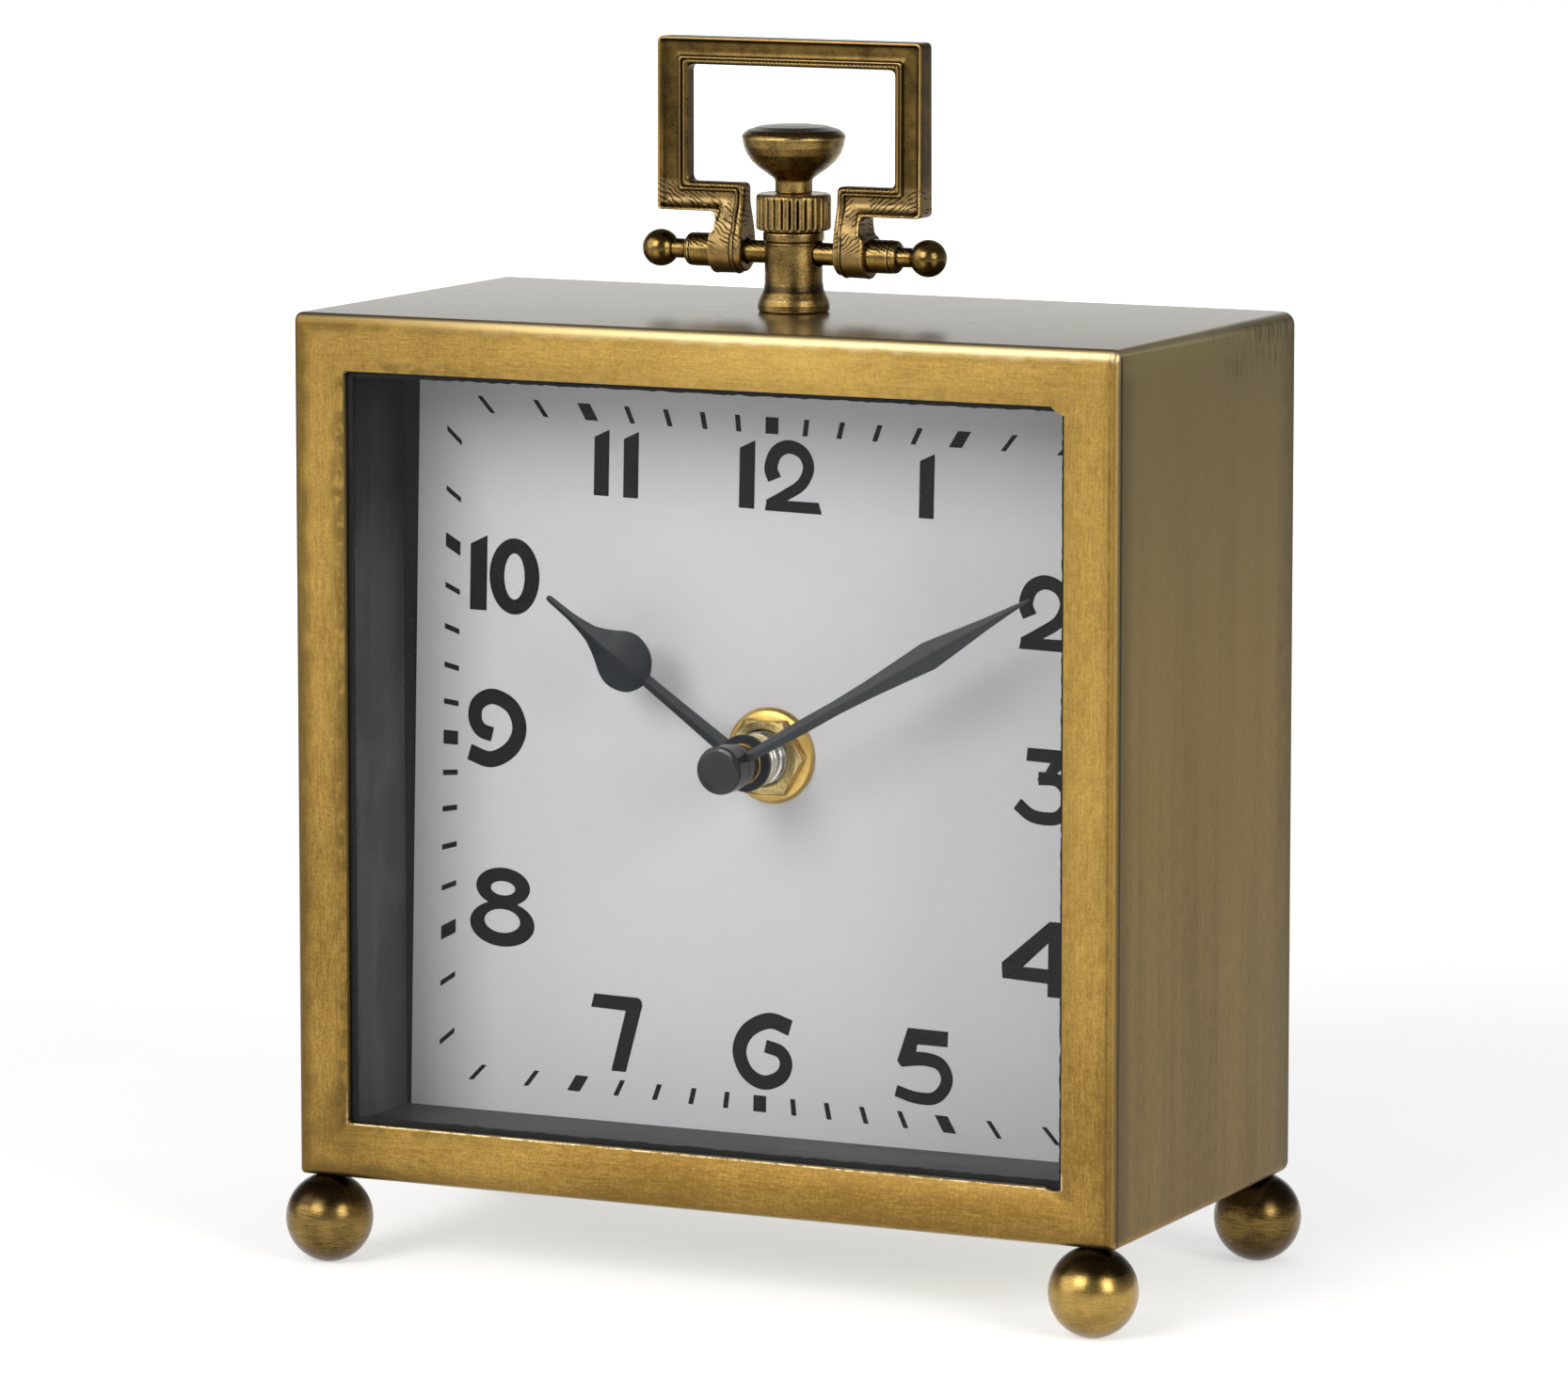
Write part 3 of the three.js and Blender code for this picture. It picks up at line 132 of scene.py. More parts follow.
# %% [markdown]
# ## Node trees as Python
#
# A finish is a small program, and it reads better as one. `Flow` stands for a value on its way
# through a node tree: Python's operators on it add Math nodes. Every other node comes from
# `Graph.node`, which takes the node's type, its settings and what goes into its sockets. The
# same two classes serve the materials and the Geometry Nodes.

# %% Flow and Graph
def operator(operation, swapped=False):
    """A Python operator, or a method, that adds one Math node."""
    def method(self, other):
        return self.graph.maths(operation, *((other, self) if swapped else (self, other)))
    return method


class Flow:
    """A value on its way through a node tree."""

    def __init__(self, graph, socket):
        self.graph, self.socket = graph, socket

    __add__, __radd__ = operator("ADD"), operator("ADD", True)
    __sub__, __rsub__ = operator("SUBTRACT"), operator("SUBTRACT", True)
    __mul__, __rmul__ = operator("MULTIPLY"), operator("MULTIPLY", True)
    __truediv__, __pow__ = operator("DIVIDE"), operator("POWER")
    over, least, most = operator("GREATER_THAN"), operator("MINIMUM"), operator("MAXIMUM")

    def maths(self, operation, *others):
        return self.graph.maths(operation, self, *others)

    def __abs__(self):
        return self.maths("ABSOLUTE")

    def eased(self, start, end):
        """0 before start, 1 after end, and a smooth rise between them."""
        settings = {"interpolation_type": "SMOOTHSTEP"}
        return self.graph.node("ShaderNodeMapRange", settings, {0: self, 1: start, 2: end})

    def faded(self, start, end):
        """1 before start, 0 after end, and a smooth fall between them."""
        return 1 - self.eased(start, end)

    def part(self, name):
        """Another output of the node that this value came from."""
        return Flow(self.graph, self.socket.node.outputs[name])


class Graph:
    """A node tree that is written as expressions."""

    def __init__(self, tree):
        self.tree = tree

    def node(self, kind, settings=None, inputs=None, output=0):
        made = self.tree.nodes.new(kind)
        for name, value in (settings or {}).items():
            setattr(made, name, value)
        for key, value in (inputs or {}).items():
            if isinstance(value, Flow):
                self.tree.links.new(value.socket, made.inputs[key])
            else:
                made.inputs[key].default_value = value
        return Flow(self, made.outputs[output])

    def maths(self, operation, *values):
        return self.node("ShaderNodeMath", {"operation": operation}, dict(enumerate(values)))

    def vector(self, x, y, z=0.0):
        return self.node("ShaderNodeCombineXYZ", None, {0: x, 1: y, 2: z})

    def split(self, vector):
        first = self.node("ShaderNodeSeparateXYZ", None, {0: vector})
        return first, first.part("Y"), first.part("Z")

    def choose(self, factor, a, b):
        """a where factor is 0, b where it is 1."""
        return a + (b - a) * factor


def radius_of(x, y):
    """How far from the axis a point is."""
    return (x * x + y * y) ** 0.5


def linear(red, green, blue):
    """A colour as a paint chart gives it, 0 to 255, made linear for a shader."""
    share = [value / 255 for value in (red, green, blue)]
    return tuple(s / 12.92 if s <= 0.04045 else ((s + 0.055) / 1.055) ** 2.4 for s in share) + (1,)


# %% [markdown]
# `Finish` is a material under way. Its coordinates are the piece's own, in millimetres, so a
# grain line is as wide in a shader as on the bench. Its colours are written as on a paint chart.

# %% Finish
class Finish(Graph):
    """A material whose pattern is laid out in millimetres on the piece."""

    def __init__(self, name):
        self.material = bpy.data.materials.new(name)
        self.material.use_nodes = True
        super().__init__(self.material.node_tree)
        self.tree.nodes.clear()
        self.output = self.tree.nodes.new("ShaderNodeOutputMaterial")

    def place(self):
        own = self.node("ShaderNodeTexCoord", None, None, "Object")
        return self.node("ShaderNodeVectorMath", {"operation": "SCALE"}, {0: own, "Scale": 1 / mm})

    def outwards(self):
        """The direction away from the surface, as three values."""
        return self.split(self.node("ShaderNodeTexCoord", None, None, "Normal"))

    def wear(self):
        """How sharply the surface sticks out here, as stored on the piece."""
        return self.node("ShaderNodeAttribute", {"attribute_name": "wear"}, None, "Fac")

    def noise(self, vector, scale=1.0, detail=2.0, roughness=0.5, stretch=0.0):
        sockets = {"Vector": vector, "Scale": scale, "Detail": detail, "Roughness": roughness}
        return self.node("ShaderNodeTexNoise", None, {**sockets, "Distortion": stretch})

    def tint(self, factor, a, b):
        """Colour a where factor is 0, b where it is 1; either may be a paint."""
        a, b = (linear(*colour) if isinstance(colour, tuple) else colour for colour in (a, b))
        settings = {"data_type": "RGBA", "clamp_factor": True}
        return self.node("ShaderNodeMix", settings, {0: factor, 6: a, 7: b}, 2)

    def coated(self, colour, *coats):
        """The colour under more coats of paint, each as (how much of it, red, green, blue)."""
        for share, *shade in coats:
            colour = self.tint(share, colour, tuple(shade))
        return colour

    def bump(self, height, depth, strength=1.0):
        sockets = {"Strength": strength, "Distance": depth * mm, "Height": height}
        return self.node("ShaderNodeBump", None, sockets)

    def ended(self, shader):
        """Ends the tree in that shader."""
        self.tree.links.new(shader.socket, self.output.inputs["Surface"])
        return self.material

    def surface(self, **sockets):
        """Ends the tree in a Principled surface; colour="..." goes to Base Color, and so on."""
        names = {
            "colour": "Base Color", "roughness": "Roughness", "metal": "Metallic", "normal": "Normal",
            "coat": "Coat Weight", "coat_roughness": "Coat Roughness", "specular": "Specular IOR Level",
        }
        return self.ended(self.node("ShaderNodeBsdfPrincipled", None, {names[k]: v for k, v in sockets.items()}))


# %% [markdown]
# ## Floor, backdrop and lamps
#
# The clock was photographed on white, in soft light from both sides, with a dark ceiling: each
# ball shows a bright band round its middle and a dark cap. So the room that the metal mirrors is
# grey, dark overhead, with a pale window to the left and the white backdrop behind the clock. The
# camera itself sees plain white all round. Two large soft lamps stand in front, left and right.

# %% Stage
stage_half = 3.0
floor_mesh = bpy.data.meshes.new("floor")
floor_mesh.from_pydata(
    [(x * stage_half, y * stage_half, 0) for x, y in ((-1, -1), (1, -1), (1, 1), (-1, 1))],
    [], [(0, 1, 2, 3)],
)
floor = in_scene("floor", floor_mesh)
backdrop = -direction_to(camera_azimuth, 0)


def background_rays(graph):
    """1 for the camera's rays; then 1 for those that metal and glass throw."""
    camera_ray = graph.node("ShaderNodeLightPath", None, None, "Is Camera Ray")
    return camera_ray, camera_ray.part("Is Glossy Ray").most(camera_ray.part("Is Transmission Ray"))


floor_finish = Finish("floor_white")
floor_place = floor_finish.place()
floor_x, floor_y = floor_finish.split(floor_place)[:2]
floor_distance = radius_of(floor_x, floor_y)
floor_colour = floor_finish.tint(floor_finish.noise(floor_place, 0.05, 3), (236, 236, 236), (240, 240, 240))
floor_behind = (floor_x * backdrop.x + floor_y * backdrop.y) / floor_distance.most(1.0)
floor_seen, floor_mirrored = background_rays(floor_finish)
floor_far = floor_distance.eased(200, 900)
floor_lift = floor_finish.choose(floor_far, 0.5, 1.0) * floor_seen
floor_lift = floor_lift.most(floor_finish.choose(floor_far, 0.46, floor_behind.eased(0.8, 0.95)) * floor_mirrored)
floor_glow = floor_finish.node("ShaderNodeEmission", None, {"Color": (1, 1, 1, 1), "Strength": floor_lift})
floor_paint = floor_finish.node("ShaderNodeBsdfDiffuse", None, {"Color": floor_colour})
floor_mesh.materials.append(
    floor_finish.ended(floor_finish.node("ShaderNodeAddShader", None, {0: floor_paint, 1: floor_glow})),
)

world = bpy.data.worlds.new("studio")
world.use_nodes = True
world.node_tree.nodes.clear()
sky = Graph(world.node_tree)
sky_x, sky_y, sky_z = sky.split(sky.node("ShaderNodeTexCoord", None, None, "Generated"))
sky_behind = (sky_x * backdrop.x + sky_y * backdrop.y).eased(0.82, 0.96)
sky_window = (sky_x * -0.7 + sky_y * -0.62 + sky_z * 0.36).eased(0.86, 0.97)
sky_room = sky.choose(sky_window, sky.choose(sky_z.eased(0.1, 0.5), 0.24, 0.08), 2.0)
sky_backdrop = sky.choose(sky_behind * sky_z.faded(0.3, 0.6), sky_room, 1.0)
sky_fill = sky.choose(sky_z.eased(0.05, 0.6), 0.7, 0.36)
sky_seen, sky_mirrored = background_rays(sky)
sky_strength = sky.choose(sky_mirrored, sky_fill, sky_backdrop).most(sky_seen)
sky_shader = sky.node("ShaderNodeBackground", None, {"Color": (1, 1, 1, 1), "Strength": sky_strength})
sky_output = world.node_tree.nodes.new("ShaderNodeOutputWorld")
world.node_tree.links.new(sky_shader.socket, sky_output.inputs["Surface"])
bpy.context.scene.world = world

lamp_distance = 1.5


def soft_lamp(name, azimuth, elevation, width, height, power):
    """A soft box that faces the clock from that direction."""
    data = bpy.data.lights.new(name, "AREA")
    data.shape, data.size, data.size_y, data.energy = "RECTANGLE", width, height, power
    facing(in_scene(name, data), Vector((0, 0, case_middle * mm)), direction_to(azimuth, elevation), lamp_distance)


soft_lamp("lamp_left", -12, 29, 0.7, 0.7, 9.3)
soft_lamp("lamp_right", 63, 20, 0.55, 0.7, 7.0)
print("stage set with two lamps")

# %% [markdown]
# ## Aged brass
#
# The case is sheet brass that was brushed along each rail, toned brown and lacquered. Three
# things make it: fine dark lines along the grain, slow patches where the tone is thicker, and
# bends painted bright, partly as rubbed wear and partly as a painted highlight. The grain follows
# the rail, so the finish works out along which axis each face was brushed: upright on the stiles
# and the sides, across on the rails and the top. A picture of brushed metal would be quicker, but
# it would stretch round the bends.

# %% Case brass
rail_width, sheet, bend_radius = 8.4, 1.2, 1.1


def case_brass():
    brass = Finish("case_brass")
    place = brass.place()
    x, y, z = brass.split(place)
    nx, ny, nz = brass.outwards()
    level, depth = z - case_middle, y - case_low.y
    on_side, on_cap = abs(nx).eased(0.6, 0.9), abs(nz).eased(0.6, 0.9)
    wander = brass.noise(place, 0.3, 3) - 0.5
    from_side, from_end = case_half.x - abs(x), case_half.z - abs(level)
    on_stile = (from_end - from_side + wander * 8).eased(-4, 4) * (1 - on_cap)
    upright = on_side.most(on_stile)

    def brushed(along, across):
        streak = brass.noise(brass.vector(along * 0.05, across * 1.1), 1.0, 4, 0.65)
        hair = brass.noise(brass.vector(along * 0.35, across * 3.4), 1.0, 4, 0.7)
        return streak.eased(0.3, 0.7) * 0.14 + hair.eased(0.3, 0.7) * 0.38

    level_grain, upright_grain = brushed(x, y + z), brushed(z, x + y)
    grain = brass.choose(upright, level_grain, upright_grain) * 0.85
    grain = grain + brass.choose(upright, upright_grain, level_grain) * 0.25
    patch = brass.noise(place, 0.05, 4, 0.6, 0.4)
    mottle = brass.noise(place, 0.6, 4, 0.7)
    speck = brass.noise(place, 2.6, 3, 0.75)
    sand = brass.noise(place, 2.4, 4, 0.75)
    tone = grain + patch.eased(0.3, 0.7) * 0.24 + sand.eased(0.34, 0.66) * 0.26

    # the front, with a painted highlight paling the middle of the top rail, and browner low down
    top_rail_highlight = level.eased(30, 60) * (abs(x - 12) - 6).faded(0, 42)
    left_tone = (30 - level).eased(0, 36) * 0.22
    right_tone = (40 - level).eased(0, 50) * 0.06 + (0 - level).eased(10, 62) * 0.38
    low_tone = brass.choose(x.eased(-50, 10), left_tone, right_tone)
    edge = from_side.least(from_end)
    from_window = rail_width - edge
    left = (0 - x).eased(20, 60)
    toned_edge = (edge + wander * 3 - mottle * 1.4).faded(0.2, 2.6) * brass.choose(left, 0.3, 0.72)
    window_tone = (from_window + wander * 4).faded(0.3, 3.2) * (mottle + patch).eased(0.82, 1.06)
    from_corner = radius_of(x + case_half.x - rail_width, level + case_half.z - rail_width)
    corner_tone = (from_corner + wander * 9).faded(1, 9) * (0.35 + mottle * 0.35)
    nicked = from_window.faded(0.2, 0.42) * mottle.eased(0.42, 0.56) * (0 - level).eased(50, 54)
    # painted highlight: a pale strip on the front just under the top bend
    top_strip_highlight = (from_end + wander * 1.6).faded(1.2, 2.3) * level.over(0) * (x + 40).eased(-20, 50)
    right_edge = case_half.x - x
    inner_line = (right_edge - 1.12).eased(-0.1, 0.1) * (right_edge - 1.5).faded(-0.1, 0.2) * mottle.eased(0.3, 0.6)
    front_colour = brass.coated(
        brass.tint(tone + top_rail_highlight * 0.24 - low_tone - 0.02, (134, 102, 47), (212, 174, 92)),
        (toned_edge, 92, 72, 34), (window_tone * brass.choose(left, 0.25, 0.7), 88, 72, 34),
        (corner_tone, 90, 72, 34), (nicked * 0.6, 234, 212, 162), (top_strip_highlight * 0.45, 248, 230, 184),
        (inner_line * 0.5, 84, 62, 26),
    )

    # the sides, in soft upright bands, darker towards both bends
    band = brass.noise(brass.vector(y * 0.14, 0.0, z * 0.006), 1.0, 2, 0.6)
    height_tone = level.eased(-60, 62) * 0.84 - 0.36
    side_tone = grain + band.eased(0.3, 0.7) * 0.22 + (mottle - 0.5) * 0.25 + sand * 0.2 + height_tone
    from_back = case_high.y - y
    side_edge = depth.faded(1.3, 7.5) * 0.4 + (from_back + wander * 4).faded(0, 7) * 0.4
    # painted highlight: a pale band along the top of each side
    upper_side_highlight = (level + wander * 5).eased(case_half.z - 6, case_half.z - 1)
    lower_rub = (level + case_half.z - wander).faded(0.5, 1.5)
    scuff = brass.noise(brass.vector(y * 1.9, 0.0, z * 0.16), 1.0, 3, 0.7)
    scuffed = (level + wander * 12).eased(case_half.z - 11, case_half.z - 2) * (y + wander * 20).eased(-6, 22)
    side_colour = brass.coated(
        brass.tint(side_tone, (110, 88, 40), (170, 144, 84)),
        ((level + wander * 12).eased(-10, 60) * 0.5, 158, 144, 110), (side_edge, 66, 56, 32),
        (upper_side_highlight * 0.5, 178, 160, 112), (lower_rub * 0.5, 166, 130, 80),
        (scuff.eased(0.48, 0.6) * scuffed * 0.7, 66, 62, 54),
    )

    # the top, greyed by dust and lacquer, with a few dark pits
    pit = brass.node("ShaderNodeTexVoronoi", None, {"Vector": place, "Scale": 0.09})
    cap_colour = brass.tint(patch.eased(0.3, 0.7) * 0.6 + grain * 0.3, (142, 132, 106), (170, 160, 132))
    cap_colour = brass.coated(cap_colour, (pit.faded(0.05, 0.09) * 0.7, 60, 50, 34))
    colour = brass.tint(on_cap, brass.tint(on_side, front_colour, side_colour), cap_colour)

    # the bends: painted pale along the top and the right, partly rubbed wear and partly a painted highlight, with a
    # thin dark line behind each
    front_bend = abs(ny).faded(0.8, 0.97) * abs(nx).faded(0.85, 0.99) * abs(nz).faded(0.85, 0.99)
    front_bend = front_bend * depth.faded(1.2, 1.5)
    bend_highlight_share = brass.choose(level.over(case_half.z - 1.6), 0.06, 0.75) * (x + level * 0.6).eased(-45, 10)
    behind = depth.eased(0.85, 1.0) * depth.faded(1.35, 1.75) * on_side.most(on_cap)
    # painted highlight on the bends between the top and the sides
    side_bend_highlight = (abs(nz) * abs(nx)).eased(0.04, 0.25) * abs(ny).faded(0.2, 0.5) * level.over(0)
    colour = brass.coated(
        colour, (speck.eased(0.6, 0.78) * 0.4, 72, 54, 24), (front_bend * bend_highlight_share, 246, 220, 158),
        (behind * (0.55 + mottle * 0.5), 50, 38, 16), (side_bend_highlight * (0.9 - scuffed * 0.7), 236, 218, 172),
    )
    return brass.surface(
        colour=colour, metal=1.0, roughness=0.37 + grain * 0.12 + patch * 0.06 - on_cap * 0.06,
        normal=brass.bump(grain + mottle * 0.3, 0.02, 0.5),
        coat=brass.choose(on_cap, 0.1, 0.6) * (1 - on_side * 0.6), coat_roughness=0.2,
    )


brass_of_case = case_brass()
print("case brass mixed")

# %% [markdown]
# ## Toned fittings
#
# The column, crown, crossbar, handle and feet are turned or cast, toned much darker than the
# case and then rubbed, so brass shows through on every edge and the tone stays in the hollows.
# Cycles can measure a hollow while it renders, but the exported model can't. So each piece
# measures itself as it is made, and stores how sharply every point sticks out as an attribute
# named "wear". This finish reads it: above zero it is rubbed bright, below zero it stays sooty.

# %% Fitting bronze and foot brass
# soot for the patina in hollows, also used as painted shade where the feet meet the case
soot_and_shade = (24, 19, 10)
rubbed_edge = (226, 196, 130)
foot_joint = corners_of("foot_front_left")[1].z
foot_shaded_from = foot_joint * 0.66
crown_top_reflection_from = corners_of("crown_knob")[1].z - 1.4
waist_from = corners_of("column")[0].z + 2.7


def toned_brass(
    name, kind, dark, bright, worn, roughness, rings=0.0, crests=0.55, depth=0.05, speckle=0.55, coat=0.1,
):
    """Toned metal for turned fittings; kind adds what only the crown, bar, handle or foot has."""
    bronze = Finish(name)
    place = bronze.place()
    x, y, z = bronze.split(place)
    wear = bronze.wear()
    cloud = bronze.noise(place, 0.3, 4, 0.6, 0.3)
    grit = bronze.noise(place, 3.6, 4, 0.75)
    ring = bronze.noise(bronze.vector(x * 0.35, y * 0.35, z * 5.5), 1.0, 3, 0.65)
    lines = bronze.choose(rings, grit, ring)
    if kind == "foot":
        # the left and rear feet are duller, and painted shade darkens the lower half of each ball
        dull_and_shaded = (1 - x.over(0)) * 0.3 + y.over(0) * 0.42 + z.faded(0, 6.5) * 0.26
        # painted shade: a dark cap on the top of each ball, under the case
        shaded_cap = (z + ring * 2 + cloud * 3 - 2.5).eased(foot_shaded_from, foot_shaded_from + 2.6)
        fine = bronze.noise(bronze.vector(x * 0.5, y * 0.5, (z + x * 0.16) * 11.0), 1.0, 3, 0.7)
        rubbed = cloud.eased(0.3, 0.72) * 0.16 + (lines.eased(0.3, 0.7) + fine.eased(0.3, 0.7)) * 0.24 + 0.26
        rubbed = rubbed - shaded_cap * 0.9 - dull_and_shaded
    else:
        rubbed = cloud.eased(0.3, 0.72) * 0.5 + lines.eased(0.34, 0.66) * 0.5
    colour = bronze.tint(rubbed, dark, bright)
    height = lines
    if kind == "crown":
        waist = (z + grit * 0.6 - 0.3).eased(waist_from, waist_from + 0.5)
        waist = waist * z.faded(waist_from + 0.9, waist_from + 2.2)
        # painted reflection: the top of the crown goes grey
        colour = bronze.coated(
            colour, (z.eased(crown_top_reflection_from, crown_top_reflection_from + 0.7) * 0.8, 60, 56, 48), (waist * 0.85, *soot_and_shade),
        )
    elif kind == "handle":
        above = z - pivot_up
        low = above.faded(9.4, 10.6)
        sweep = bronze.noise(place, 0.4, 2, 0.5)
        waves = ((z - abs(x) * 0.7) * 8.5 + sweep * 17).maths("SINE")
        filed = bronze.noise(place, 0.38, 2).eased(0.44, 0.54) * low * above.eased(-0.5, 1.0)
        cut = waves.eased(0.2, 0.75) * filed
        # the channel is darker, as patina in a hollow, and painted shade makes the left bar darker still
        shaded_channel = abs(y).eased(1.02, 1.15) * abs(y).faded(1.45, 1.6) * (1 - low)
        colour = bronze.coated(
            colour, (shaded_channel * (0.12 + (0 - x).over(14) * 0.28), *dark), (low * 0.52, 168, 140, 92),
            (cut * 0.8, *soot_and_shade),
        )
        height = lines * 0.5 - cut * 2.0
    elif kind == "bar":
        above = z - pivot_up
        strokes = ((x * 0.8 + above * 1.7 + cloud * 3) * 6.5).maths("SINE")
        on_top = above.eased(0.1, 1.0) * (1 - abs(x).over(19.2))
        cut = strokes.eased(-0.1, 0.5) * on_top
        colour = bronze.coated(colour, (on_top * 0.4, *bright), (cut * 0.85, *soot_and_shade))
        height = lines * 0.5 - cut
    crest = (wear + grit * 0.5 - 0.25).eased(0.28, 0.62)
    hollow = (grit * 0.2 - 0.1 - wear).eased(0.12, 0.45)
    colour = bronze.coated(
        colour, (crest * crests, *worn), (hollow * 0.88, *soot_and_shade), (grit.eased(0.54, 0.68) * speckle, *soot_and_shade),
    )
    # painted shade where the ball meets the case
    if kind == "foot":
        colour = bronze.coated(colour, (z.eased(foot_joint - 1.6, foot_joint - 0.9) * 0.85, *soot_and_shade))
    return bronze.surface(
        colour=colour, metal=1.0, roughness=roughness + grit * 0.12, normal=bronze.bump(height, depth, 0.8),
        coat=coat, coat_roughness=0.24,
    )


fitting_bronze = toned_brass(
    "fitting_bronze", "crown", (58, 43, 16), (190, 157, 92), rubbed_edge, 0.2, rings=0.15, crests=0.42, speckle=0.4,
)
bar_bronze = toned_brass(
    "bar_bronze", "bar", (62, 46, 18), (174, 143, 80), rubbed_edge, 0.17, depth=0.02, speckle=0.25,
)
handle_bronze = toned_brass(
    "handle_bronze", "handle", (42, 31, 11), (140, 111, 56), (196, 162, 100), 0.25, crests=0.45,
)
foot_brass = toned_brass(
    "foot_brass", "foot", (72, 53, 18), (214, 176, 94), (206, 172, 100), 0.22, rings=0.6, depth=0.015, speckle=0.2,
    coat=0.28,
)
print("fittings toned")

# %% [markdown]
# ## The other finishes
#
# The rest are simpler: satin enamel on the hands, moulded plastic, plated steel, printed paper,
# glass and rubber. Each still has what the eye expects close up, such as a mould's grain, a
# tumbled steel's cloudiness or paper's fibres.

# %% Plain finishes
def moulded(name, colour, paler, roughness, grain=1.4, depth=0.02, specular=0.5):
    plastic = Finish(name)
    place = plastic.place()
    mottle = plastic.noise(place, 0.12, 3)
    skin = plastic.noise(place, grain, 3, 0.6)
    return plastic.surface(
        colour=plastic.tint(mottle.eased(0.35, 0.7), colour, paler), roughness=roughness + mottle * 0.12,
        normal=plastic.bump(skin, depth, 0.4), specular=specular,
    )


def plated(name, colour, shade, roughness, grain=0.8):
    steel = Finish(name)
    place = steel.place()
    cloud = steel.noise(place, grain, 4, 0.65)
    fine = steel.noise(place, 6.0, 2, 0.6)
    tone = steel.tint(cloud.eased(0.35, 0.7), colour, shade)
    tone = steel.coated(tone, ((0 - steel.wear()).eased(0.1, 0.5) * 0.6, 60, 50, 34))
    return steel.surface(
        colour=tone, metal=1.0, roughness=roughness + cloud * 0.15, normal=steel.bump(fine, 0.01, 0.3),
    )


black_plastic = moulded("black_plastic", (22, 22, 23), (32, 32, 33), 0.34)
black_paint = moulded("black_paint", (24, 24, 25), (36, 36, 37), 0.5, 2.5, 0.03)
nylon = moulded("nylon", (226, 221, 208), (236, 232, 222), 0.42)
rubber = moulded("rubber", (18, 18, 18), (30, 30, 30), 0.8, 3.0, 0.05)
circuit_green = moulded("circuit_green", (34, 82, 48), (44, 98, 58), 0.4, 4.0)
black_gloss = moulded("black_gloss", (17, 17, 18), (24, 24, 25), 0.12, 1.0, 0.004, 0.45)
pale_brass = plated("pale_brass", (208, 186, 126), (164, 138, 80), 0.22, 1.4)
polished_brass = plated("polished_brass", (230, 194, 112), (208, 168, 86), 0.34, 0.4)
ring_brass = plated("ring_brass", (188, 150, 92), (146, 112, 62), 0.24)
nickel = plated("nickel", (228, 228, 226), (206, 206, 204), 0.16, 0.4)
zinc_steel = plated("zinc_steel", (176, 178, 180), (140, 142, 144), 0.32)
copper_wire = plated("copper_wire", (190, 104, 60), (150, 76, 42), 0.3, 3.0)
print("plain finishes mixed")

# %% [markdown]
# The liner is black card or plastic, and it isn't evenly black: the light that falls in from the dial
# is painted on as a grey that rises towards the bottom, with a pale smudge of painted reflection, and
# dust lies on its floor. The pane is thin float glass. A refracting pane would keep the lamps' light
# off the dial, so it is a clear shader with a mirror's gloss laid over it, by Schlick's formula. A
# Fresnel node won't do: for a ray that isn't bent, the far face of the pane would turn into a full
# mirror beyond 56 degrees, and hide the dial from the side.

# %% Liner black and glass
def liner_black():
    black = Finish("liner_black")
    place = black.place()
    x, y, z = black.split(place)
    brushed = black.noise(black.vector(x * 0.3, y * 0.5, z * 0.04), 1.0, 4, 0.6)
    dust = black.noise(place, 1.8, 4, 0.75)
    low = (z - case_low.z).faded(0, 90)
    # painted light greys the wall lower down, and a pale smudge is a painted reflection
    lit = (z + brushed * 14 - 7).faded(100, 116)
    reflection_smudge = black.noise(black.vector(x * 0.02, y * 0.09, z * 0.05), 1.0, 2, 0.5).eased(0.45, 0.62)
    tone = black.tint(brushed * 0.2 + lit * 0.55 + reflection_smudge * lit * 0.35 - 0.12, (11, 11, 11), (80, 80, 80))
    return black.surface(
        colour=black.coated(tone, (dust.eased(0.62, 0.8) * low * 0.4, 120, 120, 118)),
        roughness=0.42 + brushed * 0.2, normal=black.bump(brushed, 0.04, 0.4),
    )


gloss_head_on, gloss_power = 0.0083, 5


def clear_glass():
    pane = Finish("clear_glass")
    smear = pane.noise(pane.place(), 0.05, 3)
    gloss = pane.node("ShaderNodeBsdfGlossy", None, {"Color": (1, 1, 1, 1), "Roughness": 0.02})
    clear = pane.node("ShaderNodeBsdfTransparent", None, {"Color": (0.99, 0.99, 0.99, 1)})
    slant = pane.node("ShaderNodeLayerWeight", None, {"Blend": 0.5}, "Facing")
    share = (slant ** gloss_power + gloss_head_on) * (0.9 + smear * 0.2)
    return pane.ended(pane.node("ShaderNodeMixShader", None, {0: share, 1: clear, 2: gloss}))


black_of_liner = liner_black()
glass = clear_glass()
print("liner and glass ready")

# %% [markdown]
# The dial is coated paper, pale grey rather than white, with a faint mottle. The print on it is a
# matt black ink, and the hands are aluminium in satin black enamel.

# %% Paper, ink, enamel and board
def dial_paper():
    paper = Finish("dial_paper")
    place = paper.place()
    mottle = paper.noise(place, 0.07, 4, 0.6)
    fibre = paper.noise(place, 2.5, 4, 0.7)
    fleck = paper.noise(place, 0.9, 2, 0.6)
    tone = paper.tint(mottle * 0.5 + fibre * 0.3, (213, 213, 215), (224, 224, 226))
    return paper.surface(
        colour=paper.coated(tone, (fleck.eased(0.68, 0.82) * 0.35, 186, 187, 189)),
        roughness=0.7, normal=paper.bump(fibre, 0.01, 0.3), specular=0.25,
    )


